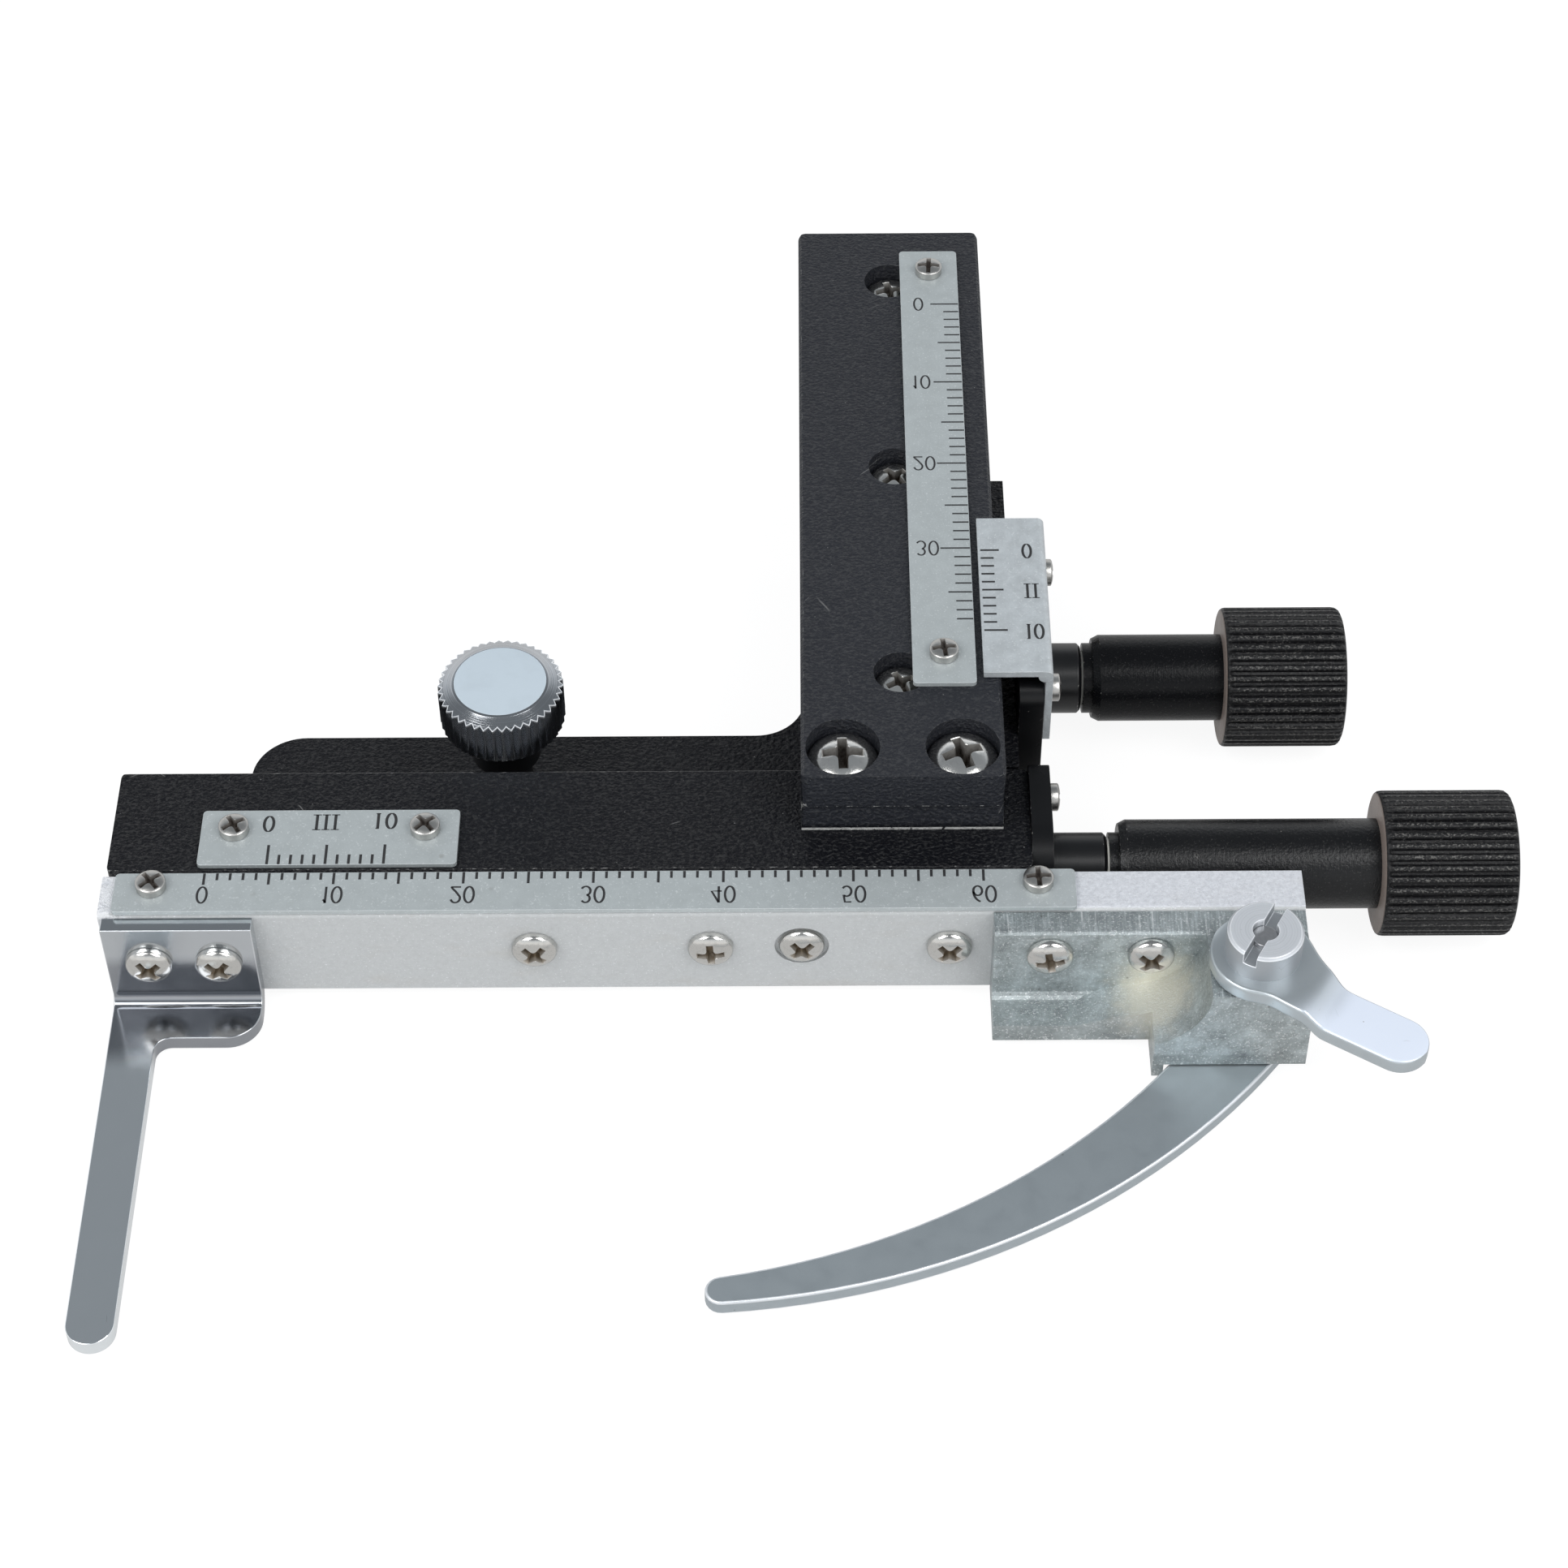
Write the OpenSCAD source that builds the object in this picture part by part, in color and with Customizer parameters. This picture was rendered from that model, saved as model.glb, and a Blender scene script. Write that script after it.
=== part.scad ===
// Attachable mechanical stage for a microscope.
// Origin: the axis of the clamp screw on the underside of the base. +X right, +Y away from the user, +Z up.

/* [Drive] */
// Height of both knob axes above the underside of the base
axis_z = 6.3; // [6.2:0.1:8]
// Teeth of the Y pinion
pinion_teeth = 12; // [10:1:14]
// Module of the Y pinion and its rack
pinion_module = 0.5; // [0.4:0.02:0.56]
// Width of the Y rack
y_rack_w = 2.8; // [2:0.1:3.2]
// Length of the Y rack
y_rack_l = 38; // [36:0.5:44]
// Length of the toothed part of the X drive shaft
worm_l = 5; // [4:0.1:6]
// Number of teeth round the X drive shaft
worm_teeth = 8; // [7:1:9]
// Transverse module of the X drive teeth
worm_module = 0.525; // [0.44:0.005:0.56]
// Slant of the X rack teeth to the travel
worm_slant = 45; // [40:1:50]
// Travel of the slide bar to the right of its rest place
travel_right = 4.7; // [3.8:0.1:5.8]
// Play across each pair of meshing flanks
backlash = 0.12; // [0.08:0.01:0.16]
// Radius of both drive shafts
shaft_r = 1.5; // [1.2:0.05:1.7]
// Running clearance round shafts and slides
fit = 0.05; // [0.03:0.01:0.08]

/* [Base plate] */
// Thickness of the clamping arm
arm_t = 3.5; // [2.5:0.1:5]
// Reach of the arm to the left of the clamp screw
arm_reach = 21; // [12:0.5:26]
// Front edge of the base ahead of the clamp screw
arm_front = 5.15; // [4.5:0.1:7]
// Rear edge of the arm behind the clamp screw
arm_rear = 4.4; // [3.8:0.1:8]
// Corner radius of the arm
arm_corner_r = 4.2; // [1:0.1:4.6]
// Distance from the clamp screw to the Y bar
bar_from_clamp = 23.8; // [18:0.5:32]
// Length of the guide leg under the Y bar
leg_l = 32.75; // [26:0.5:42]
// Fillet between the arm and the leg
leg_fillet_r = 4; // [2:0.1:6]
// Gap between the base and what slides over it
slide_gap = 0.3; // [0.2:0.05:0.4]
// Thickness of the Y bearing plate
y_plate_t = 2; // [1.5:0.1:2.6]
// Length of the Y bearing plate
y_plate_l = 19.4; // [16:0.1:24]
// Height of the Y bearing plate
y_plate_h = 14.4; // [12:0.1:15.6]

/* [Y bar] */
// Width of the Y bar
y_bar_w = 15.8; // [14.5:0.1:20]
// Length of the Y bar
y_bar_l = 64.5; // [60:0.5:80]
// Thickness of the Y bar
y_bar_t = 6.1; // [5:0.1:8]
// Length of the Y bar that stands on the X body
y_bar_lap = 6.4; // [5.6:0.1:8]
// Height of the recessed lower front edge of the Y bar
y_step_h = 2.65; // [1:0.05:4]
// Depth of that recess
y_step_d = 0.45; // [0.2:0.05:0.8]
// Width of the slide strip under the Y bar
dove_w = 5.6; // [4.8:0.1:6.4]
// Height of the slide strip
dove_h = 2.6; // [2:0.1:3]
// Pitch of the three screws of the slide strip
dove_pitch = 23.5; // [18:0.5:25]

/* [X body] */
// Length of the X body
x_body_l = 71.65; // [68:0.5:90]
// Depth of the X body
x_body_w = 10.5; // [9:0.1:14]
// Height of the X body above the knob axis
body_above = 4.1; // [3.5:0.1:5.5]
// Depth of the X body below the knob axis
body_below = 5.5; // [4.4:0.1:6.1]
// Distance from the front of the X body to the drive shaft
shaft_in = 3.82; // [3.6:0.05:4.4]
// Thickness of the X bearing plate
x_plate_t = 1.7; // [1.2:0.1:2.4]
// Height of the X bearing plate above the X body
x_plate_rise = 0.7; // [0.4:0.1:1.2]
// Overhang of the X body to the right of the Y bar
body_overhang = 2.1; // [1.7:0.1:3]

/* [X slide bar] */
// Length of the slide bar
x_bar_l = 92.5; // [84:0.5:110]
// Depth of the slide bar
x_bar_w = 3.9; // [3.2:0.1:4.8]
// Height of the slide bar
x_bar_h = 9.1; // [8:0.1:10]
// Gap between the slide bar and the X body
bar_gap = 0.35; // [0.25:0.05:0.4]
// Half height of the X slide strip where it is widest
strip_half = 3; // [2.6:0.1:3.4]
// Rounding of the slide bar's top front edge
bar_round = 0.55; // [0.2:0.05:0.8]

/* [Scales] */
// Thickness of the scale plates
plate_t = 0.42; // [0.3:0.02:0.6]
// Length of the X scale plate
x_scale_l = 73.9; // [66:0.1:84]
// Length of the Y scale plate
y_scale_l = 52.05; // [46:0.1:58]
// Width of the Y scale plate
y_scale_w = 5; // [4.2:0.1:5.8]
// Length of the X vernier plate
x_vernier_l = 20.1; // [17:0.1:24]
// Width of the X vernier plate
x_vernier_w = 5.6; // [4.8:0.1:6.6]
// Length of the Y vernier bracket
y_vernier_l = 17.3; // [14.5:0.1:20]
// Width of the top of the Y vernier bracket
y_vernier_w = 5.5; // [4.8:0.1:6]
// Sheet thickness of the Y vernier bracket
y_vernier_t = 0.6; // [0.5:0.05:0.7]
// Height of the side of the Y vernier bracket
y_vernier_h = 7.8; // [6.6:0.1:8]

/* [Knobs] */
// Radius of the knobs
knob_r = 5.72; // [4.8:0.05:6]
// Length of the Y knob
y_knob_l = 11; // [9:0.1:14]
// Length of the X knob
x_knob_l = 11.6; // [9:0.1:14]
// Ribs round each knob
knob_ribs = 40; // [30:1:44]
// Depth of the ribs
rib_depth = 0.28; // [0.2:0.02:0.4]
// Radius of the sleeves
sleeve_r = 3.55; // [2.9:0.05:3.75]
// Length of the Y sleeve
y_sleeve_l = 10.1; // [8:0.1:14]
// Length of the X sleeve
x_sleeve_l = 19.8; // [18.5:0.1:25]
// Radius of the Y bush
y_bush_r = 2.88; // [2.5:0.02:2.9]
// Length of the Y bush
y_bush_l = 3.65; // [2.8:0.05:4.5]
// Radius of the X bush
x_bush_r = 2.55; // [2.3:0.02:2.8]
// Length of the X bush
x_bush_l = 4.3; // [3.4:0.05:5.2]

/* [Clamp screw] */
// Radius of the knurled head
head_r = 5; // [4.2:0.1:5.1]
// Height of the knurled head
head_h = 4.5; // [3.6:0.1:5.5]
// Radius of the pale face on the head
face_r = 3.85; // [3.2:0.05:4.2]
// Teeth round the head
head_teeth = 42; // [32:1:48]
// Radius of the screw's shoulder
shoulder_r = 2.8; // [2.4:0.1:3.3]
// Length of the shoulder
shoulder_l = 3.7; // [3:0.1:4.4]
// Radius of the screw's thread
clamp_r = 2; // [1.7:0.05:2.4]
// Clearance under the shoulder while the screw is slack
clamp_lift = 3.1; // [2.9:0.1:4]

/* [Fixed finger] */
// Width of the finger's flange
ff_flange_w = 11.6; // [10:0.1:14]
// Sheet thickness of the fixed finger
ff_t = 1.32; // [1.1:0.02:1.6]
// Height of its underside above the stage
ff_z0 = 0.3; // [0.25:0.05:0.36]
// Depth of the foot ahead of the flange
ff_foot = 3.75; // [3.1:0.05:4.4]
// Length of the arm ahead of the foot
ff_arm_l = 27.9; // [22:0.1:34]
// Width of the arm
ff_arm_w = 3.6; // [3:0.1:4.4]
// Corner radius of the foot
ff_corner_r = 2.6; // [1.5:0.1:3]
// Inner radius of the bend
ff_bend_r = 0.9; // [0.6:0.05:1.2]

/* [Finger bracket] */
// Length of the bracket along the slide bar
fb_l = 23.8; // [21:0.1:28]
// Thickness of the flange on the slide bar
fb_flange_t = 2.2; // [1.8:0.05:2.6]
// Height of the bracket's underside above the stage
fb_z0 = 1; // [0.8:0.05:1.2]
// Depth of the foot ahead of the flange
fb_foot = 3; // [2.4:0.1:3.6]
// Thickness of the foot
fb_foot_t = 1.8; // [1.5:0.05:2.2]
// Width of the finger housing across its top
fb_head_w = 7.7; // [7:0.1:9]
// Depth of the finger housing ahead of the flange
fb_head_d = 6.2; // [5.9:0.05:7.2]
// Radius of the hollow side of the housing
fb_scoop_r = 6.2; // [5:0.1:6.6]
// Thickness of the stop leg at the mouth of the housing
fb_leg_t = 0.85; // [0.7:0.05:1]

/* [Curved finger] */
// Thickness of the finger
cf_t = 1.4; // [1.2:0.05:1.5]
// Height of its underside above the stage
cf_z0 = 0.45; // [0.4:0.02:0.5]
// Radius of its inner edge
cf_inner_r = 57.4; // [50:0.1:66]
// Radius of its outer edge
cf_outer_r = 59.26; // [52:0.1:68]
// Distance from the pivot to the finger's tip
cf_reach = 46.9; // [42:0.1:52]
// Radius of the hub round the pivot
cf_hub_r = 2.9; // [2.6:0.05:2.95]
// Radius of the pivot post
pivot_r = 1.5; // [1.3:0.05:1.7]
// Thickness of the release lever
lever_t = 1.4; // [1.2:0.05:1.7]
// Radius of the lever's disc
lever_disc_r = 3.95; // [3.4:0.05:4.4]
// Distance from the pivot to the round end of the lever
lever_reach = 11.75; // [9.8:0.05:14]
// Half width of the lever at its round end
lever_end_r = 2.2; // [1.8:0.05:2.6]
// Step down of the lever beside its disc
lever_drop = 0.95; // [0.8:0.05:1.1]
// Radius of the slotted nut
nut_r = 2.88; // [2.5:0.05:3.3]
// Height of the slotted nut
nut_h = 2.65; // [2.2:0.05:3.2]

/* [Screws] */
// Head radius of the scale screws
s1_head_r = 1.05; // [0.9:0.05:1.2]
// Head height of the scale screws
s1_head_h = 0.75; // [0.6:0.05:0.9]
// Thread radius of the scale screws
s1_r = 0.6; // [0.5:0.02:0.7]
// Head radius of the front screws
s2_head_r = 1.7; // [1.5:0.05:2]
// Head height of the front screws
s2_head_h = 1; // [0.8:0.05:1.2]
// Thread radius of the front screws
s2_r = 0.95; // [0.8:0.05:1.1]
// Head radius of the two large screws in the Y bar
s3_head_r = 2; // [1.75:0.05:2.3]
// Head height of the two large screws
s3_head_h = 1.5; // [1.3:0.05:1.8]
// Thread radius of the two large screws
s3_r = 1.25; // [1.1:0.05:1.4]
// Radius of the two large counterbores
big_bore_r = 2.9; // [2.5:0.05:3.1]
// Depth of the two large counterbores
big_bore_d = 3.2; // [2.4:0.1:3.4]
// Radius of the three small counterbores
small_bore_r = 2.15; // [1.8:0.05:2.3]
// Depth of the three small counterbores
small_bore_d = 2.4; // [2:0.1:3]

/* [Hidden] */
$fn = 48;
over = 0.4;

// Shares of the gear forms: tip and root depths in modules, and the pressure angles
pinion_tip_share = 0.8;
pinion_root_share = 1.04;
pinion_angle = 25;
worm_tip_share = 0.7;
worm_root_share = 0.95;
worm_angle = 30;

// Along X
bar_x0 = bar_from_clamp;
bar_x1 = bar_x0 + y_bar_w;
leg_side_gap = 1.5;
leg_x0 = bar_x0 + slide_gap;
leg_x1 = bar_x1 + leg_side_gap;
y_plate_x1 = leg_x1 + y_plate_t;
body_x1 = bar_x1 + body_overhang;
body_x0 = body_x1 - x_body_l;
x_plate_x1 = body_x1 + x_plate_t;
xbar_lead = 0.2;
xbar_x0 = body_x0 - xbar_lead;
xbar_x1 = xbar_x0 + x_bar_l;
dove_x = bar_x0 + y_bar_w / 2;
rack_x1 = bar_x1 - slide_gap;
rack_x0 = rack_x1 - y_rack_w;

// Along Y
base_y0 = -arm_front;
leg_y1 = base_y0 + leg_l;
body_y1 = base_y0 - slide_gap;
body_y0 = body_y1 - x_body_w;
xbar_y1 = body_y0 - bar_gap;
xbar_y0 = xbar_y1 - x_bar_w;
bar_y0 = body_y1 - y_bar_lap;
bar_y1 = bar_y0 + y_bar_l;
x_axis_y = body_y0 + shaft_in;
pinion_setback = 13.22;
y_axis_y = base_y0 + pinion_setback;

// Along Z
body_z0 = axis_z - body_below;
body_z1 = axis_z + body_above;
bar_z0 = body_z1;
bar_z1 = bar_z0 + y_bar_t;
leg_z1 = bar_z0 - slide_gap;
xbar_z1 = body_z1;
xbar_z0 = xbar_z1 - x_bar_h;

// Y rack and pinion
pinion_r = pinion_teeth * pinion_module / 2;
pinion_tip_r = pinion_r + pinion_tip_share * pinion_module;
rack_back = 1.5;
rack_pitch_z = axis_z + pinion_r;
rack_z1 = rack_pitch_z + pinion_root_share * pinion_module + rack_back;
rack_lead = 4.1;
rack_y0 = y_axis_y - rack_lead;
channel_gap = 0.2;
channel_x0 = rack_x0 - channel_gap;
channel_x1 = rack_x1 + channel_gap;
pinion_gap = 0.15;
pinion_bore_r = pinion_tip_r + pinion_gap;
journal_r = 1;
journal_l = 1.2;

// X worm and slanted rack
worm_r = worm_teeth * worm_module / 2;
worm_tip_r = worm_r + worm_tip_share * worm_module;
worm_bore_gap = 0.15;
worm_bore_r = worm_tip_r + worm_bore_gap;
x_journal_r = 1.2;
x_journal_l = 5;
travel_spare = 0.3;
strip_x1 = body_x1 - travel_right - channel_gap;
worm_in = 6.55;
worm_x0 = body_x0 + worm_in;
strip_x0 = worm_x0 - travel_right - travel_spare;
strip_pitch_y = x_axis_y - worm_r;
strip_root_y = strip_pitch_y - worm_root_share * worm_module;
strip_back = 0.17;
strip_wide_y = strip_root_y - strip_back;
strip_neck = 0.8;
tooth_half = 1.5;

function polar(r, a) = [r * cos(a), r * sin(a)];
function arc(c, r, a0, a1, n) = [for (i = [0 : n]) c + polar(r, a0 + (a1 - a0) * i / n)];
function between(c, r, a0, a1, n) = [for (i = [1 : n - 1]) c + polar(r, a0 + (a1 - a0) * i / n)];
function deg(x) = x * 180 / PI;
function inv(a) = deg(tan(a)) - a;
// Half the angle that a gear tooth spans at radius r
function half_tooth(r, pr, ang, teeth, play) =
    90 / teeth - deg(play / 4 / pr) + inv(ang) - inv(acos(min(1, pr * cos(ang) / r)));

// Outline of an involute gear, with tooth spaces at the angles gap_at + 360 i / teeth
module gear_outline(teeth, module_mm, ang, tip_share, root_share, play, gap_at) {
    pr = teeth * module_mm / 2;
    tip_r = pr + tip_share * module_mm;
    root_r = pr - root_share * module_mm;
    low_r = max(root_r, pr * cos(ang));
    steps = 4;
    radii = [for (i = [0 : steps]) low_r + (tip_r - low_r) * i / steps];
    polygon([for (t = [0 : teeth - 1])
        let (mid = gap_at + (t + 1 / 2) * 360 / teeth)
        each concat(
            [polar(root_r, mid - half_tooth(low_r, pr, ang, teeth, play))],
            [for (i = [0 : steps]) polar(radii[i], mid - half_tooth(radii[i], pr, ang, teeth, play))],
            [for (i = [steps : -1 : 0]) polar(radii[i], mid + half_tooth(radii[i], pr, ang, teeth, play))],
            [polar(root_r, mid + half_tooth(low_r, pr, ang, teeth, play))])]);
}

// Outline of a rack along X with its teeth pointing down, a tooth centred on x = 0, its pitch line on y = 0
module rack_outline(x0, x1, pitch, ang, tip, root, back, play) {
    half = (pitch - play) / 4;
    grow = tan(ang);
    first = floor(x0 / pitch);
    last = ceil(x1 / pitch);
    intersection() {
        polygon(concat(
            [[(first - 1) * pitch, root + back], [(first - 1) * pitch, root]],
            [for (n = [first : last]) each [
                [n * pitch - half - root * grow, root], [n * pitch - half + tip * grow, -tip],
                [n * pitch + half - tip * grow, -tip], [n * pitch + half + root * grow, root]]],
            [[(last + 1) * pitch, root], [(last + 1) * pitch, root + back]]));
        translate([x0, -tip])
            square([x1 - x0, tip + root + back]);
    }
}

module block(x0, x1, y0, y1, z0, z1) {
    translate([x0, y0, z0])
        cube([x1 - x0, y1 - y0, z1 - z0]);
}

module xcyl(r, x0, x1, y, z) {
    translate([x0, y, z])
        rotate([0, 90, 0])
            cylinder(r = r, h = x1 - x0);
}

module ycyl(r, y0, y1, x, z) {
    translate([x, y1, z])
        rotate([90, 0, 0])
            cylinder(r = r, h = y1 - y0);
}

module zcyl(r, z0, z1, x, y) {
    translate([x, y, z0])
        cylinder(r = r, h = z1 - z0);
}

// A shape drawn in the Y-Z plane, run along X
module along_x(x0, x1) {
    translate([x0, 0, 0])
        rotate([90, 0, 90])
            linear_extrude(height = x1 - x0)
                children();
}

// A turned shape with its axis along X, from points of station and radius
module turned_x(x0, y, z, points) {
    translate([x0, y, z])
        rotate([0, 90, 0])
            rotate_extrude()
                polygon([for (p = points) [p[1], p[0]]]);
}

module round_rect(x0, x1, y0, y1, r) {
    union() {
        translate([x0 + r, y0])
            square([x1 - x0 - r * 2, y1 - y0]);
        translate([x0, y0 + r])
            square([x1 - x0, y1 - y0 - r * 2]);
        for (x = [x0 + r, x1 - r], y = [y0 + r, y1 - r])
            translate([x, y])
                circle(r = r);
    }
}

// Shares of a screw head: straight rim and slot floor of its height, slot width and length of its radius
rim_share = 0.35;
slot_w_share = 0.24;
slot_l_share = 1.15;
flat_slot_share = 0.3;

// Cross-slotted pan-head screw, its seat at z = 0 and its head above
module pan_screw(hr, hh, r, l) {
    rim = hh * rim_share;
    slot_w = hr * slot_w_share;
    slot_l = hr * slot_l_share;
    difference() {
        union() {
            rotate_extrude()
                polygon(concat([[0, 0], [hr, 0]],
                    [for (a = [0 : 15 : 90]) [hr * cos(a), rim + (hh - rim) * sin(a)]]));
            translate([0, 0, -l])
                cylinder(r = r, h = l);
        }
        for (a = [0, 90])
            rotate([0, 0, a])
                block(-slot_l / 2, slot_l / 2, -slot_w / 2, slot_w / 2, rim, hh + over);
    }
}

module countersunk_screw(hr, r, l) {
    slot_w = hr * slot_w_share;
    slot_l = hr * slot_l_share;
    difference() {
        rotate_extrude()
            polygon([[0, 0], [hr, 0], [r, r - hr], [r, -l], [0, -l]]);
        for (a = [0, 90])
            rotate([0, 0, a])
                block(-slot_l / 2, slot_l / 2, -slot_w / 2, slot_w / 2, -hr * flat_slot_share, over);
    }
}

// Base plate: clamping arm and guide leg
module base_outline() {
    union() {
        round_rect(-arm_reach, leg_x1, base_y0, arm_rear, arm_corner_r);
        translate([leg_x0, base_y0])
            square([leg_x1 - leg_x0, leg_l]);
        difference() {
            translate([leg_x0 - leg_fillet_r, arm_rear - over])
                square([leg_fillet_r + over, leg_fillet_r + over]);
            translate([leg_x0 - leg_fillet_r, arm_rear + leg_fillet_r])
                circle(r = leg_fillet_r);
        }
    }
}

dove_top_share = 0.68;
groove_half = dove_w / 2 + fit;
groove_z0 = bar_z0 - dove_h - fit;
journal_x0 = channel_x0 - journal_l;

module dovetail_outline(half, z0, z1, grow) {
    polygon([[-half, z0], [half, z0],
        [half * dove_top_share + grow, z1], [-half * dove_top_share - grow, z1]]);
}

plate_screw_y_shares = [0.13, 0.87];
plate_screw_z_share = 1 / 6;
y_plate_lead = 3.35;
y_plate_y0 = base_y0 + y_plate_lead;
y_plate_z0 = 0.6;
y_plate_z1 = y_plate_z0 + y_plate_h;
y_plate_screw_z = y_plate_z0 + plate_screw_z_share * y_plate_h;
y_plate_screw_l = 3.4;

module base_plate() {
    color([0.13, 0.135, 0.15])
        difference() {
            union() {
                linear_extrude(height = arm_t)
                    base_outline();
                block(leg_x0, leg_x1, base_y0, leg_y1, 0, leg_z1);
            }
            zcyl(clamp_r + fit, -over, leg_z1, 0, 0);
            translate([dove_x, leg_y1 + over, 0])
                rotate([90, 0, 0])
                    linear_extrude(height = leg_l + over * 2)
                        dovetail_outline(groove_half, groove_z0, leg_z1 + over, over / 2);
            block(channel_x0, channel_x1, base_y0 - over, leg_y1 + over,
                rack_pitch_z - pinion_tip_share * pinion_module - channel_gap, leg_z1 + over);
            xcyl(pinion_bore_r, channel_x0, leg_x1 + over, y_axis_y, axis_z);
            xcyl(journal_r + fit, journal_x0 - fit, channel_x1, y_axis_y, axis_z);
            for (s = plate_screw_y_shares)
                xcyl(s2_r, leg_x1 - y_plate_screw_l + y_plate_t, leg_x1 + over,
                    y_plate_y0 + s * y_plate_l, y_plate_screw_z);
        }
}

y_plate_round = 1.6;
vernier_screw_shares = [0.105, 0.85];
vernier_screw_drop = 3.7;
vernier_z1 = bar_z1 + slide_gap / 3 + y_vernier_t;
vernier_x1 = y_plate_x1 + y_vernier_t;
vernier_x0 = vernier_x1 - y_vernier_w;
vernier_lead = 3.6;
vernier_y0 = base_y0 + vernier_lead;
vernier_screw_z = vernier_z1 - vernier_screw_drop;
vernier_screw_l = 1.4;
bearing_spigot_r = 2.1;

module y_bearing_plate() {
    color([0.06, 0.06, 0.07])
        difference() {
            along_x(leg_x1, y_plate_x1)
                round_rect(y_plate_y0, y_plate_y0 + y_plate_l, y_plate_z0, y_plate_z1, y_plate_round);
            xcyl(bearing_spigot_r, leg_x1 - over, y_plate_x1 + over, y_axis_y, axis_z);
            for (s = plate_screw_y_shares)
                translate([y_plate_x1, y_plate_y0 + s * y_plate_l, y_plate_screw_z])
                    rotate([0, 90, 0]) {
                        rotate_extrude()
                            polygon([[0, over], [s2_head_r + over, over], [s2_head_r, 0],
                                [s2_r, s2_r - s2_head_r], [0, s2_r - s2_head_r]]);
                        translate([0, 0, -y_plate_t - over])
                            cylinder(r = s2_r, h = y_plate_t + over);
                    }
            for (s = vernier_screw_shares)
                xcyl(s1_r, y_plate_x1 - vernier_screw_l, y_plate_x1 + over,
                    vernier_y0 + s * y_vernier_l, vernier_screw_z);
        }
}

module y_plate_screws() {
    color([0.35, 0.35, 0.36])
        for (s = plate_screw_y_shares)
            translate([y_plate_x1, y_plate_y0 + s * y_plate_l, y_plate_screw_z])
                rotate([0, 90, 0])
                    countersunk_screw(s2_head_r, s2_r, y_plate_screw_l);
}

bush_edge = 0.25;

// Bush with a spigot through its bearing plate
module bush(x0, spigot, r, l, y) {
    turned_x(x0, y, axis_z, [[-spigot, shaft_r + fit], [-spigot, bearing_spigot_r],
        [0, bearing_spigot_r], [0, r], [l - bush_edge, r], [l, r - bush_edge], [l, shaft_r + fit]]);
}

module y_bush() {
    color([0.08, 0.08, 0.09])
        bush(y_plate_x1, y_plate_t, y_bush_r, y_bush_l, y_axis_y);
}

module y_vernier_bracket() {
    bend = y_vernier_t;
    color([0.72, 0.74, 0.75])
        difference() {
            translate([0, vernier_y0 + y_vernier_l, 0])
                rotate([90, 0, 0])
                    linear_extrude(height = y_vernier_l)
                        union() {
                            translate([vernier_x0, vernier_z1 - y_vernier_t])
                                square([y_vernier_w - bend, y_vernier_t]);
                            translate([vernier_x1 - y_vernier_t, vernier_z1 - y_vernier_h])
                                square([y_vernier_t, y_vernier_h - bend]);
                            translate([vernier_x1 - bend, vernier_z1 - bend])
                                circle(r = bend);
                        }
            for (s = vernier_screw_shares)
                xcyl(s1_r, y_plate_x1 - over, vernier_x1 + over,
                    vernier_y0 + s * y_vernier_l, vernier_screw_z);
        }
}

module y_vernier_screws() {
    color([0.6, 0.6, 0.58])
        for (s = vernier_screw_shares)
            translate([vernier_x1, vernier_y0 + s * y_vernier_l, vernier_screw_z])
                rotate([0, 90, 0])
                    pan_screw(s1_head_r, s1_head_h, s1_r, vernier_screw_l + y_vernier_t);
}

// Y carriage
y_bar_corner_r = 0.7;
y_bar_edge = 0.25;
bolt_front = 3.15;
bolt_side = 3.25;
bolt_y = bar_y0 + bolt_front;
bolt_xs = [bar_x0 + bolt_side, bar_x1 - bolt_side];
bolt_bite = 2.25;
dove_first = 4.65;
dove_ys = [for (i = [0 : 2]) body_y1 + dove_first + i * dove_pitch];
dove_lead = 1.2;
dove_y0 = body_y1 + dove_lead;
dove_end = 3.4;
dove_y1 = dove_ys[2] + dove_end;

module y_bar() {
    color([0.15, 0.155, 0.17])
        difference() {
            intersection() {
                translate([0, 0, bar_z0])
                    linear_extrude(height = y_bar_t)
                        round_rect(bar_x0, bar_x1, bar_y0, bar_y1, y_bar_corner_r);
                translate([0, bar_y1, 0])
                    rotate([90, 0, 0])
                        linear_extrude(height = y_bar_l)
                            polygon([[bar_x0, bar_z0], [bar_x1, bar_z0], [bar_x1, bar_z1 - y_bar_edge],
                                [bar_x1 - y_bar_edge, bar_z1], [bar_x0 + y_bar_edge, bar_z1],
                                [bar_x0, bar_z1 - y_bar_edge]]);
            }
            block(bar_x0 - over, bar_x1 + over, bar_y0 - over, bar_y0 + y_step_d,
                bar_z0 - over, bar_z0 + y_step_h);
            for (x = bolt_xs) {
                zcyl(big_bore_r, bar_z1 - big_bore_d, bar_z1 + over, x, bolt_y);
                zcyl(s3_r, bar_z0 - over, bar_z1, x, bolt_y);
            }
            for (y = dove_ys) {
                zcyl(small_bore_r, bar_z1 - small_bore_d, bar_z1 + over, dove_x, y);
                zcyl(s2_r, bar_z0 - over, bar_z1, dove_x, y);
            }
            block(rack_x0, rack_x1, rack_y0, rack_y0 + y_rack_l, bar_z0 - over, rack_z1);
            for (y = y_scale_screw_ys)
                zcyl(s1_r, bar_z1 - s1_bite, bar_z1 + over, y_scale_screw_x, y);
        }
}

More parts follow.
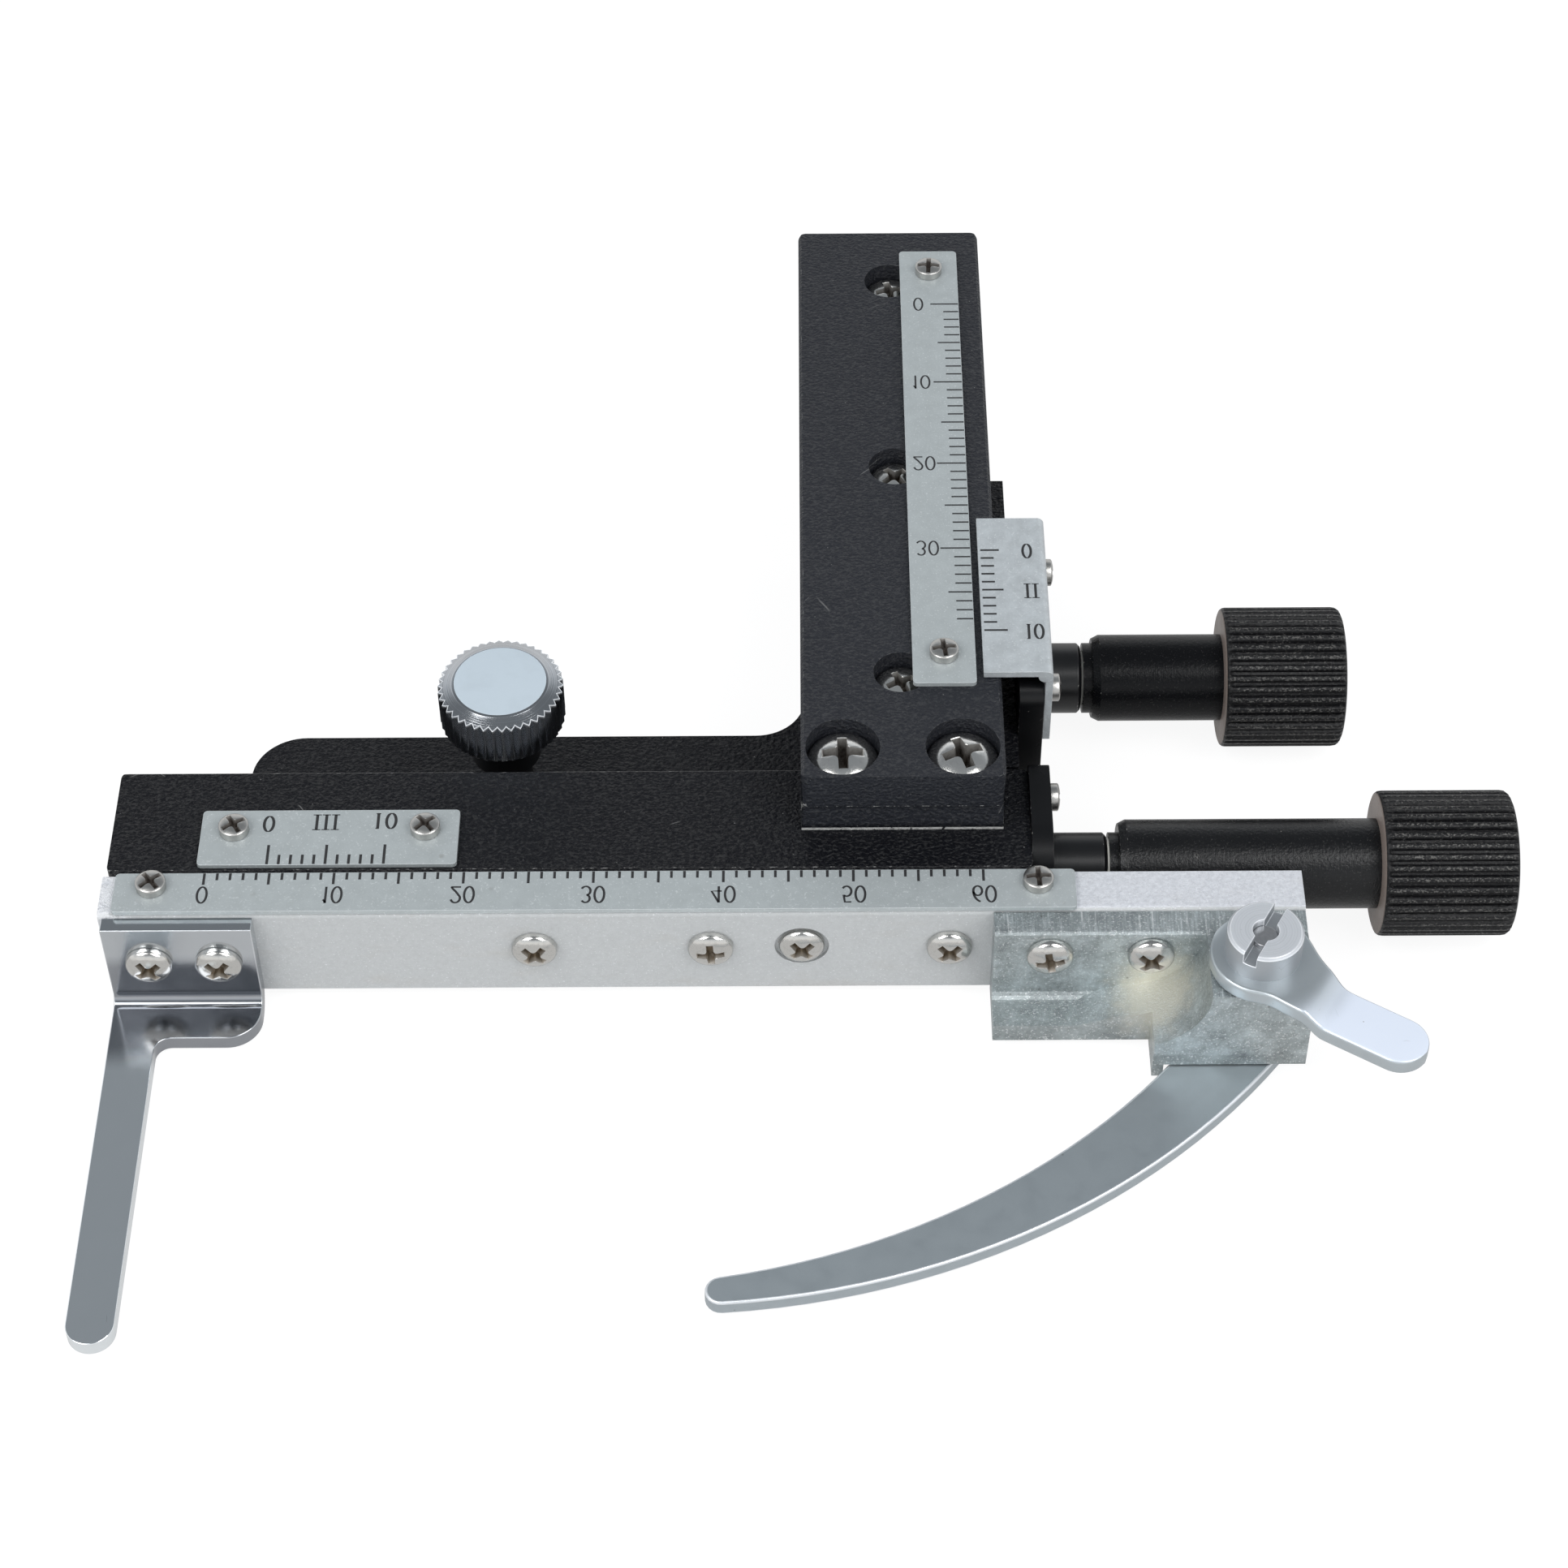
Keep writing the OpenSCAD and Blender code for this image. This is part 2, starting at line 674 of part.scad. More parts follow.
y_scale_side = 1.96;
y_scale_end = 3;
y_scale_x1 = bar_x1 - y_scale_side;
y_scale_x0 = y_scale_x1 - y_scale_w;
y_scale_y1 = bar_y1 - y_scale_end;
y_scale_y0 = y_scale_y1 - y_scale_l;
y_scale_screw_front = 3.15;
y_scale_screw_back = 2.8;
y_scale_screw_x = y_scale_x0 + y_scale_w / 2;
y_scale_screw_ys = [y_scale_y0 + y_scale_screw_front, y_scale_y1 - y_scale_screw_back];
s1_bite = 1.1;
plate_corner_r = 0.35;

// Thin engraved plate held by two screws
module scale_plate(x0, x1, y0, y1, z0, screw_places) {
    difference() {
        translate([0, 0, z0])
            linear_extrude(height = plate_t)
                round_rect(x0, x1, y0, y1, plate_corner_r);
        for (p = screw_places)
            zcyl(s1_r, z0 - over, z0 + plate_t + over, p[0], p[1]);
    }
}

module plate_screws(z0, screw_places) {
    for (p = screw_places)
        translate([p[0], p[1], z0 + plate_t])
            pan_screw(s1_head_r, s1_head_h, s1_r, s1_bite + plate_t);
}

y_scale_places = [for (y = y_scale_screw_ys) [y_scale_screw_x, y]];

module y_scale_plate() {
    color([0.66, 0.70, 0.71])
        scale_plate(y_scale_x0, y_scale_x1, y_scale_y0, y_scale_y1, bar_z1, y_scale_places);
}

module y_scale_screws() {
    color([0.6, 0.6, 0.58])
        plate_screws(bar_z1, y_scale_places);
}

dove_screw_l = 1.8;

module y_slide_strip() {
    color([0.75, 0.62, 0.32])
        difference() {
            translate([dove_x, dove_y1, 0])
                rotate([90, 0, 0])
                    linear_extrude(height = dove_y1 - dove_y0)
                        dovetail_outline(dove_w / 2, bar_z0 - dove_h, bar_z0, 0);
            for (y = dove_ys)
                zcyl(s2_r, bar_z0 - dove_screw_l, bar_z0 + over, dove_x, y);
        }
}

module y_slide_screws() {
    color([0.6, 0.6, 0.58])
        for (y = dove_ys)
            translate([dove_x, y, bar_z1 - small_bore_d])
                pan_screw(s2_head_r, s2_head_h, s2_r, y_bar_t - small_bore_d + dove_screw_l);
}

module y_rack() {
    pitch = PI * pinion_module;
    color([0.78, 0.66, 0.36])
        translate([rack_x0, y_axis_y, rack_pitch_z])
            rotate([90, 0, 90])
                linear_extrude(height = y_rack_w)
                    rack_outline(rack_y0 - y_axis_y, rack_y0 + y_rack_l - y_axis_y, pitch, pinion_angle,
                        pinion_tip_share * pinion_module, pinion_root_share * pinion_module,
                        rack_back, backlash);
}

body_corner_r = 0.7;
body_edge = 0.25;
strip_fit_share = 1.6;
strip_fit = fit * strip_fit_share;
tooth_channel = 0.2;
x_vernier_lead = 7;
x_vernier_front = 0.4;
x_vernier_x0 = body_x0 + x_vernier_lead;
x_vernier_y0 = body_y0 + x_vernier_front;
x_vernier_in = 2.6;
x_vernier_screw_share = 0.63;
x_vernier_places = [for (x = [x_vernier_x0 + x_vernier_in, x_vernier_x0 + x_vernier_l - x_vernier_in])
    [x, x_vernier_y0 + x_vernier_w * x_vernier_screw_share]];
x_plate_screw_back = 2.45;
x_plate_screw_shares = [0.8, 2.1];
x_plate_screw_zs = [body_z1 - s1_head_r * x_plate_screw_shares[0],
    body_z0 + s1_head_r * x_plate_screw_shares[1]];
x_plate_screw_y = body_y1 - x_plate_screw_back;
x_plate_screw_l = 3.2;

// Half section of the X slide strip: a neck at the bar, widening to the toothed face
module strip_outline(grow) {
    polygon([
        [xbar_y1 - grow, axis_z - strip_half + strip_neck - grow],
        [xbar_y1, axis_z - strip_half + strip_neck - grow],
        [strip_wide_y, axis_z - strip_half - grow],
        [strip_wide_y + grow, axis_z - strip_half - grow],
        [strip_wide_y + grow, axis_z + strip_half + grow],
        [strip_wide_y, axis_z + strip_half + grow],
        [xbar_y1, axis_z + strip_half - strip_neck + grow],
        [xbar_y1 - grow, axis_z + strip_half - strip_neck + grow]]);
}

module x_body() {
    channel_half = tooth_half + tooth_channel;
    color([0.13, 0.135, 0.15])
        difference() {
            intersection() {
                translate([0, 0, body_z0])
                    linear_extrude(height = body_z1 - body_z0)
                        round_rect(body_x0, body_x1, body_y0, body_y1, body_corner_r);
                along_x(body_x0, body_x1)
                    polygon([[body_y0, body_z0], [body_y1, body_z0], [body_y1, body_z1 - body_edge],
                        [body_y1 - body_edge, body_z1], [body_y0 + body_edge, body_z1],
                        [body_y0, body_z1 - body_edge]]);
            }
            along_x(body_x0 - over, body_x1 + over)
                strip_outline(strip_fit);
            block(body_x0 - over, body_x1 + over, strip_wide_y, x_axis_y - shaft_r - fit * 2,
                axis_z - channel_half, axis_z + channel_half);
            xcyl(worm_bore_r, worm_x0 - channel_gap, body_x1 + over, x_axis_y, axis_z);
            xcyl(x_journal_r + fit, worm_x0 - x_journal_l - channel_gap * 2, worm_x0, x_axis_y, axis_z);
            for (x = bolt_xs)
                zcyl(s3_r, body_z1 - bolt_bite, body_z1 + over, x, bolt_y);
            for (p = x_vernier_places)
                zcyl(s1_r, body_z1 - s1_bite, body_z1 + over, p[0], p[1]);
            for (z = x_plate_screw_zs)
                xcyl(s1_r, body_x1 - x_plate_screw_l + x_plate_t, body_x1 + over, x_plate_screw_y, z);
        }
}

module x_body_bolts() {
    color([0.62, 0.62, 0.6])
        for (x = bolt_xs)
            translate([x, bolt_y, bar_z1 - big_bore_d])
                pan_screw(s3_head_r, s3_head_h, s3_r, y_bar_t - big_bore_d + bolt_bite);
}

module x_vernier_plate() {
    color([0.66, 0.70, 0.71])
        scale_plate(x_vernier_x0, x_vernier_x0 + x_vernier_l, x_vernier_y0, x_vernier_y0 + x_vernier_w,
            body_z1, x_vernier_places);
}

module x_vernier_screws() {
    color([0.6, 0.6, 0.58])
        plate_screws(body_z1, x_vernier_places);
}

x_plate_round = 4;

module x_bearing_plate() {
    z1 = body_z1 + x_plate_rise;
    small = body_corner_r;
    color([0.06, 0.06, 0.07])
        difference() {
            along_x(body_x1, x_plate_x1)
                polygon(concat(
                    [[body_y0, body_z0 + small]],
                    arc([body_y0 + small, body_z0 + small], small, 180, 270, 3),
                    arc([body_y1 - small, body_z0 + small], small, 270, 360, 3),
                    arc([body_y1 - small, z1 - small], small, 0, 90, 3),
                    arc([body_y0 + x_plate_round, z1 - x_plate_round], x_plate_round, 90, 180, 10)));
            xcyl(bearing_spigot_r, body_x1 - over, x_plate_x1 + over, x_axis_y, axis_z);
            for (z = x_plate_screw_zs)
                xcyl(s1_r, body_x1 - over, x_plate_x1 + over, x_plate_screw_y, z);
        }
}

module x_bearing_screws() {
    color([0.6, 0.6, 0.58])
        for (z = x_plate_screw_zs)
            translate([x_plate_x1, x_plate_screw_y, z])
                rotate([0, 90, 0])
                    pan_screw(s1_head_r, s1_head_h, s1_r, x_plate_screw_l);
}

module x_bush() {
    color([0.08, 0.08, 0.09])
        bush(x_plate_x1, x_plate_t, x_bush_r, x_bush_l, x_axis_y);
}

// X slide
ff_lead = 0.3;
ff_x0 = xbar_x0 + ff_lead;
ff_x1 = ff_x0 + ff_flange_w;
ff_y0 = xbar_y0 - ff_t;
ff_z1 = xbar_z1 - slide_gap;
ff_screw_shares = [0.288, 0.752];
ff_screw_xs = [for (s = ff_screw_shares) ff_x0 + s * ff_flange_w];
fb_x1 = xbar_x1 - fit;
fb_x0 = fb_x1 - fb_l;
fb_y0 = xbar_y0 - fb_flange_t;
fb_z1 = xbar_z1 - slide_gap / 2;
fb_screw_shares = [0.18, 0.505];
fb_screw_xs = [for (s = fb_screw_shares) fb_x0 + s * fb_l];
fb_screw_drop = 2.4;
fb_screw_z = fb_z1 - fb_screw_drop;
rack_screw_shares = [0.377, 0.617, 0.741, 0.942];
rack_screw_xs = [for (s = rack_screw_shares) ff_x1 + s * (fb_x0 - ff_x1)];
rack_screw_l = 1.1;
front_screw_l = 2.4;
stop_screw = 2;
stop_bore_d = 0.35;
stop_bore_r = 2.1;
x_scale_lead = 1.1;
x_scale_x0 = xbar_x0 + x_scale_lead;
x_scale_in = 2.87;
x_scale_screw_share = 0.37;
x_scale_places = [for (x = [x_scale_x0 + x_scale_in, x_scale_x0 + x_scale_l - x_scale_in])
    [x, xbar_y1 - x_bar_w * x_scale_screw_share]];

module x_bar() {
    color([0.74, 0.75, 0.76])
        difference() {
            along_x(xbar_x0, xbar_x1)
                polygon(concat(
                    [[xbar_y0, xbar_z0], [xbar_y1, xbar_z0], [xbar_y1, xbar_z1]],
                    arc([xbar_y0 + bar_round, xbar_z1 - bar_round], bar_round, 90, 180, 4)));
            for (i = [0 : len(rack_screw_xs) - 1])
                ycyl(s2_r, xbar_y0 - over, xbar_y1 + over, rack_screw_xs[i], axis_z);
            ycyl(stop_bore_r, xbar_y0 - over, xbar_y0 + stop_bore_d, rack_screw_xs[stop_screw], axis_z);
            for (x = ff_screw_xs)
                ycyl(s2_r, xbar_y0 - over, xbar_y0 + front_screw_l, x, axis_z);
            for (x = fb_screw_xs)
                ycyl(s2_r, xbar_y0 - over, xbar_y0 + front_screw_l, x, fb_screw_z);
            for (p = x_scale_places)
                zcyl(s1_r, xbar_z1 - s1_bite, xbar_z1 + over, p[0], p[1]);
        }
}

module x_scale_plate() {
    color([0.66, 0.70, 0.71])
        scale_plate(x_scale_x0, x_scale_x0 + x_scale_l, xbar_y0, xbar_y1 - fit, xbar_z1, x_scale_places);
}

module x_scale_screws() {
    color([0.6, 0.6, 0.58])
        plate_screws(xbar_z1, x_scale_places);
}

// Comb of slanted teeth on the rear face of the X slide strip
module slanted_teeth() {
    pitch = PI * worm_module * cos(worm_slant);
    angle = atan(tan(worm_angle) * cos(worm_slant));
    lead_in = worm_x0 - strip_x0 + tooth_half * 2;
    reach = strip_x1 - worm_x0 + tooth_half * 2;
    intersection() {
        translate([worm_x0, strip_pitch_y, axis_z])
            rotate([0, 90 - worm_slant, 0])
                translate([0, 0, -lead_in])
                    linear_extrude(height = reach + lead_in)
                        mirror([0, 1])
                            rack_outline(-lead_in * sin(worm_slant), reach * sin(worm_slant), pitch, angle,
                                worm_tip_share * worm_module, worm_root_share * worm_module,
                                strip_back, backlash * cos(worm_slant));
        block(strip_x0, strip_x1, strip_wide_y, x_axis_y, axis_z - tooth_half, axis_z + tooth_half);
    }
}

module x_slide_rack() {
    color([0.75, 0.62, 0.32])
        difference() {
            union() {
                along_x(strip_x0, strip_x1)
                    strip_outline(0);
                slanted_teeth();
            }
            for (x = rack_screw_xs)
                ycyl(s2_r, xbar_y1 - over, xbar_y1 + rack_screw_l, x, axis_z);
        }
}

// Front-face screw, its head towards the user
module front_screw(x, y, z, l) {
    translate([x, y, z])
        rotate([90, 0, 0])
            pan_screw(s2_head_r, s2_head_h, s2_r, l);
}

module x_rack_screws() {
    color([0.62, 0.62, 0.6])
        for (i = [0 : len(rack_screw_xs) - 1])
            front_screw(rack_screw_xs[i], xbar_y0 + (i == stop_screw ? stop_bore_d : 0), axis_z,
                x_bar_w + rack_screw_l - (i == stop_screw ? stop_bore_d : 0));
}

module bent_sheet_outline(y0, y1, z0, z1, t, r) {
    union() {
        translate([y1 - t, z0 + t + r])
            square([t, z1 - z0 - t - r]);
        translate([y0, z0])
            square([y1 - y0 - t - r, t]);
        intersection() {
            difference() {
                translate([y1 - t - r, z0 + t + r])
                    circle(r = t + r);
                translate([y1 - t - r, z0 + t + r])
                    circle(r = r);
            }
            translate([y1 - t - r, z0])
                square([t + r, t + r]);
        }
    }
}

ff_foot_y0 = ff_y0 - ff_foot;
ff_arm_y0 = ff_foot_y0 - ff_arm_l;
ff_inner_r = 1.2;

module fixed_finger_plan() {
    tip = ff_arm_w / 2;
    union() {
        round_rect(ff_x0, ff_x1, ff_foot_y0, xbar_y0 + ff_corner_r + over, ff_corner_r);
        translate([ff_x0, ff_foot_y0])
            square([ff_corner_r + over, ff_foot]);
        translate([ff_x0, ff_arm_y0 + tip])
            square([ff_arm_w, xbar_y0 - ff_arm_y0 - tip]);
        translate([ff_x0 + tip, ff_arm_y0 + tip])
            circle(r = tip);
        difference() {
            translate([ff_x0 + ff_arm_w - over, ff_foot_y0 - ff_inner_r])
                square([ff_inner_r + over, ff_inner_r + over]);
            translate([ff_x0 + ff_arm_w + ff_inner_r, ff_foot_y0 - ff_inner_r])
                circle(r = ff_inner_r);
        }
    }
}

module fixed_finger() {
    color([0.78, 0.79, 0.8])
        difference() {
            intersection() {
                along_x(ff_x0, ff_x1)
                    bent_sheet_outline(ff_arm_y0, xbar_y0, ff_z0, ff_z1, ff_t, ff_bend_r);
                linear_extrude(height = ff_z1 + over)
                    fixed_finger_plan();
            }
            for (x = ff_screw_xs)
                ycyl(s2_r, ff_y0 - over, xbar_y0 + over, x, axis_z);
        }
}

module fixed_finger_screws() {
    color([0.62, 0.62, 0.6])
        for (x = ff_screw_xs)
            front_screw(x, ff_y0, axis_z, ff_t + front_screw_l);
}

pivot_side = 3.85;
pivot_x = fb_x1 - pivot_side;
pivot_front = 3.1;
pivot_y = fb_y0 - pivot_front;
housing_y0 = fb_y0 - fb_head_d;
housing_x0 = fb_x1 - fb_head_w;
housing_z0 = cf_z0 + cf_t + slide_gap / 2;
stop_leg_share = 0.645;
leg_outer_x = housing_x0 - fb_scoop_r * stop_leg_share;
scoop_x = housing_x0 - fb_scoop_r;
scoop_top = -6;
scoop_end = -69;
ramp_l = 3.4;
stop_leg_z0 = cf_z0 + slide_gap / 2;
spring_bore_r = 2.4;
spring_bore_l = 5;
foot_round = 0.8;

module bracket_section() {
    foot_y0 = fb_y0 - fb_foot;
    polygon(concat(
        [[foot_y0, fb_z0], [xbar_y0, fb_z0], [xbar_y0, fb_z1]],
        arc([fb_y0 + foot_round / 2, fb_z1 - foot_round / 2], foot_round / 2, 90, 180, 3),
        arc([fb_y0 - foot_round, fb_z0 + fb_foot_t + foot_round], foot_round, 0, -90, 4),
        [[foot_y0, fb_z0 + fb_foot_t]]));
}

// Housing front view: flat top, hollow quarter round down to the stop leg
module housing_outline() {
    polygon(concat(
        [[leg_outer_x, stop_leg_z0], [leg_outer_x + fb_leg_t, stop_leg_z0],
            [leg_outer_x + fb_leg_t, housing_z0], [fb_x1, housing_z0], [fb_x1, fb_z1], [housing_x0, fb_z1]],
        arc([scoop_x, fb_z1], fb_scoop_r, scoop_top, scoop_end, 10)));
}

// The hollow runs out over the foot in a ramp
module ramp_outline() {
    foot_z1 = fb_z0 + fb_foot_t;
    x1 = leg_outer_x + fb_leg_t / 2;
    polygon(concat(
        [[x1, foot_z1 - over], [x1, fb_z1 - fb_scoop_r + over]],
        arc([scoop_x, fb_z1], fb_scoop_r, scoop_end, -90, 4),
        [[scoop_x - ramp_l, foot_z1], [scoop_x - ramp_l, foot_z1 - over]]));
}

module finger_bracket() {
    color([0.62, 0.66, 0.66])
        difference() {
            union() {
                difference() {
                    along_x(fb_x0, fb_x1)
                        bracket_section();
                    block(leg_outer_x, fb_x1 + over, fb_y0 - fb_foot - over, fb_y0,
                        fb_z0 - over, fb_z1 + over);
                }
                translate([0, fb_y0, 0])
                    rotate([90, 0, 0])
                        linear_extrude(height = fb_head_d)
                            housing_outline();
                translate([0, xbar_y0 - over, 0])
                    rotate([90, 0, 0])
                        linear_extrude(height = fb_flange_t + fb_foot - over)
                            ramp_outline();
            }
            zcyl(pivot_r + fit, housing_z0 - over, fb_z1 + over, pivot_x, pivot_y);
            zcyl(spring_bore_r, housing_z0 - over, housing_z0 + spring_bore_l, pivot_x, pivot_y);
            for (x = fb_screw_xs)
                ycyl(s2_r, fb_y0 - over, xbar_y0 + over, x, fb_screw_z);
        }
}

module finger_bracket_screws() {
    color([0.62, 0.62, 0.6])
        for (x = fb_screw_xs)
            front_screw(x, fb_y0, fb_screw_z, fb_flange_t + front_screw_l);
}

// Torsion spring round the pivot post
spring_wire_r = 0.22;
spring_turns = 5;
spring_r = (pivot_r + spring_bore_r) / 2;

module torsion_spring() {
    rings = spring_turns * 14;
    sides = 6;
    z0 = housing_z0 + spring_wire_r * 2;
    rise = spring_bore_l - spring_wire_r * 4;
    points = [for (i = [0 : rings], k = [0 : sides - 1])
        let (a = 360 * spring_turns * i / rings, b = 360 * k / sides, r = spring_r + spring_wire_r * cos(b))
        [r * cos(a), r * sin(a), z0 + rise * i / rings + spring_wire_r * sin(b)]];
    walls = [for (i = [0 : rings - 1], k = [0 : sides - 1])
        let (n = (k + 1) % sides)
        each [[i * sides + k, i * sides + n, (i + 1) * sides + n],
            [i * sides + k, (i + 1) * sides + n, (i + 1) * sides + k]]];
    start = [for (k = [1 : sides - 2]) [0, k + 1, k]];
    finish = [for (k = [1 : sides - 2]) [rings * sides, rings * sides + k, rings * sides + k + 1]];
    color([0.5, 0.5, 0.52])
        translate([pivot_x, pivot_y, 0])
            polyhedron(points = points, faces = [for (f = concat(walls, start, finish)) [f[0], f[2], f[1]]]);
}

// Knobs
shaft_end_in = 1.5;
neck_gap = 0.18;
neck_l = 0.75;
sleeve_chamfer = 0.6;
washer_r = 2.2;
grub_r = 0.8;
hex_share = 0.55;
y_neck_x = y_plate_x1 + y_bush_l + neck_gap;
x_neck_x = x_plate_x1 + x_bush_l + neck_gap;
y_knob_x = y_neck_x + neck_l + y_sleeve_l;
x_knob_x = x_neck_x + neck_l + x_sleeve_l;
sleeve_seat = 1.2;
knob_edge = 0.8;

module y_pinion_shaft() {
    color([0.6, 0.6, 0.6])
        union() {
            translate([rack_x0, y_axis_y, axis_z])
                rotate([90, 0, 90])
                    linear_extrude(height = y_rack_w)
                        gear_outline(pinion_teeth, pinion_module, pinion_angle, pinion_tip_share,
                            pinion_root_share, backlash, 90);
            xcyl(journal_r, journal_x0, rack_x0 + fit, y_axis_y, axis_z);
            xcyl(shaft_r, rack_x1, y_knob_x + y_knob_l - shaft_end_in, y_axis_y, axis_z);
        }
}

module sleeve(neck_x, knob_x, neck_r, y) {
    turned_x(neck_x, y, axis_z, [[0, shaft_r], [0, neck_r], [neck_l, neck_r],
        [neck_l, sleeve_r - sleeve_chamfer / 2], [neck_l + sleeve_chamfer, sleeve_r],
        [knob_x - neck_x + sleeve_seat, sleeve_r], [knob_x - neck_x + sleeve_seat, shaft_r]]);
}

module grub_hole(x, y) {
    zcyl(grub_r, axis_z - sleeve_r - over, axis_z, x, y);
}

module grub_screw(x, y) {
    hex_r = grub_r * hex_share;
    difference() {
        zcyl(grub_r, axis_z - sleeve_r + grub_r / 4, axis_z - shaft_r, x, y);
        translate([x, y, axis_z - sleeve_r])
            cylinder(r = hex_r, h = grub_r, $fn = 6);
    }
}

grub_in = 2.4;
y_grub_x = y_neck_x + neck_l + grub_in;
x_grub_x = x_neck_x + neck_l + grub_in;

module y_knob_sleeve() {
    color([0.07, 0.07, 0.08])
        difference() {
            sleeve(y_neck_x, y_knob_x, y_bush_r, y_axis_y);
            grub_hole(y_grub_x, y_axis_y);
        }
}

// Half the width of a rib at its foot and at its top, as shares of the pitch
rib_foot_share = 0.32;
rib_top_share = 0.2;
collar_share = 0.75;

module ribbed_outline(r, teeth, depth) {
    polygon([for (i = [0 : teeth - 1]) each [
        polar(r - depth, (i - rib_foot_share) * 360 / teeth), polar(r, (i - rib_top_share) * 360 / teeth),
        polar(r, (i + rib_top_share) * 360 / teeth), polar(r - depth, (i + rib_foot_share) * 360 / teeth)]]);
}

module ribbed_knob(x0, l, y) {
    collar = knob_edge * collar_share;
    difference() {
        intersection() {
            turned_x(x0, y, axis_z, [[0, 0], [0, knob_r - knob_edge], [knob_edge, knob_r],
                [l - knob_edge, knob_r], [l, knob_r - knob_edge], [l, 0]]);
            union() {
                along_x(x0 + collar, x0 + l - collar)
                    translate([y, axis_z])
                        ribbed_outline(knob_r, knob_ribs, rib_depth);
                xcyl(knob_r - rib_depth, x0 - over, x0 + l + over, y, axis_z);
            }
        }
        xcyl(sleeve_r, x0 - over, x0 + sleeve_seat, y, axis_z);
        xcyl(shaft_r, x0, x0 + l - shaft_end_in, y, axis_z);
    }
}

module y_knob() {
    color([0.09, 0.09, 0.1])
        ribbed_knob(y_knob_x, y_knob_l, y_axis_y);
}

module y_grub_screw() {
    color([0.3, 0.3, 0.3])
        grub_screw(y_grub_x, y_axis_y);
}

module thrust_washer(neck_x, y) {
    turned_x(neck_x, y, axis_z, [[-neck_gap + fit, shaft_r], [-neck_gap + fit, washer_r],
        [0, washer_r], [0, shaft_r]]);
}

module y_thrust_washer() {
    color([0.8, 0.8, 0.75])
        thrust_washer(y_neck_x, y_axis_y);
}

worm_slices = 12;

module x_worm_shaft() {
    turn = deg(worm_l * tan(worm_slant) / worm_r);
    color([0.6, 0.6, 0.6])
        union() {
            xcyl(x_journal_r, worm_x0 - x_journal_l, worm_x0 + fit, x_axis_y, axis_z);
            translate([worm_x0, x_axis_y, axis_z])
                rotate([90, 0, 90])
                    linear_extrude(height = worm_l, twist = turn, slices = worm_slices)
                        gear_outline(worm_teeth, worm_module, worm_angle, worm_tip_share,
                            worm_root_share, backlash, 180);
            xcyl(shaft_r, worm_x0 + worm_l, x_knob_x + x_knob_l - shaft_end_in, x_axis_y, axis_z);
        }
}

module x_knob_sleeve() {
    color([0.07, 0.07, 0.08])
        difference() {
            sleeve(x_neck_x, x_knob_x, x_bush_r, x_axis_y);
            grub_hole(x_grub_x, x_axis_y);
        }
}

module x_knob() {
    color([0.09, 0.09, 0.1])
        ribbed_knob(x_knob_x, x_knob_l, x_axis_y);
}

module x_grub_screw() {
    color([0.3, 0.3, 0.3])
        grub_screw(x_grub_x, x_axis_y);
}

module x_thrust_washer() {
    color([0.8, 0.8, 0.75])
        thrust_washer(x_neck_x, x_axis_y);
}

// Curved finger and its lever
cf_aim = 209.87;
cf_tip_r = 1.2;
cf_stop_gap = 0.2;
nut_slot_w = 1;
nut_slot_d = 1.1;
nut_slot_aim = 61;
stud_r = 1;
stud_l = 1.95;
lever_aim = -32;
lever_side = 1.35;
joggle_share = 0.43;
lever_gap = 0.1;
lever_z0 = fb_z1 + lever_gap;
lever_arc_first = 40;
lever_arc_last = 302;
lever_back_share = 1.45;
lever_neck_share = 1.75;
lever_waist_share = 1.1;
lever_waist_side_share = 0.75;
step_run_share = 1.3;
full_turn = 360;

// Centre of a circle, from its distances to two points, on the right going from the first to the second
function centre_at(p, rp, q, rq) =
    let (v = q - p, d = norm(v), u = v / d, a = (rp * rp - rq * rq + d * d) / (d * 2))
    p + u * a + [u[1], -u[0]] * sqrt(rp * rp - a * a);
function heading(v) = atan2(v[1], v[0]);

// Plan of the curved finger from its tip to the hub, about the pivot
module curved_finger_plan() {
    tip = polar(cf_reach, cf_aim);
    corner = [leg_outer_x + fb_leg_t - pivot_x, housing_y0 - pivot_y];
    ci = centre_at(corner, cf_inner_r - cf_stop_gap, tip, cf_inner_r + cf_tip_r);
    co = centre_at([0, 0], cf_outer_r - cf_hub_r, tip, cf_outer_r - cf_tip_r);
    back_side = heading(ci) - acos(cf_hub_r / (norm(ci) - cf_inner_r));
    polygon(concat(
        arc(ci, cf_inner_r, heading(tip - ci), heading(-ci), 24),
        [polar(cf_hub_r, back_side)],
        between([0, 0], cf_hub_r, back_side, heading(-co), 16),
        arc(co, cf_outer_r, heading(-co), heading(tip - co), 24),
        between(tip, cf_tip_r, heading(tip - co), heading(ci - tip) - full_turn, 10)));
}

module curved_finger() {
    color([0.55, 0.58, 0.6])
        translate([pivot_x, pivot_y, cf_z0])
            linear_extrude(height = cf_t)
                difference() {
                    curved_finger_plan();
                    circle(r = pivot_r);
                }
}

module pivot_post() {
    color([0.6, 0.6, 0.6])
        union() {
            zcyl(pivot_r, cf_z0, lever_z0 + lever_t, pivot_x, pivot_y);
            zcyl(stud_r, lever_z0, lever_z0 + lever_t + stud_l, pivot_x, pivot_y);
        }
}

// Plan of the lever along +X, its round end offset from the pivot
module lever_plan() {
    polygon(concat(
        arc([0, 0], lever_disc_r, lever_arc_first, lever_arc_last, 40),
        [[lever_disc_r * lever_back_share, -lever_side - lever_end_r]],
        arc([lever_reach, -lever_side], lever_end_r, -90, 90, 20),
        [[lever_disc_r * lever_neck_share, lever_end_r - lever_side],
            [lever_disc_r * lever_waist_share, lever_end_r * lever_waist_side_share]]));
}

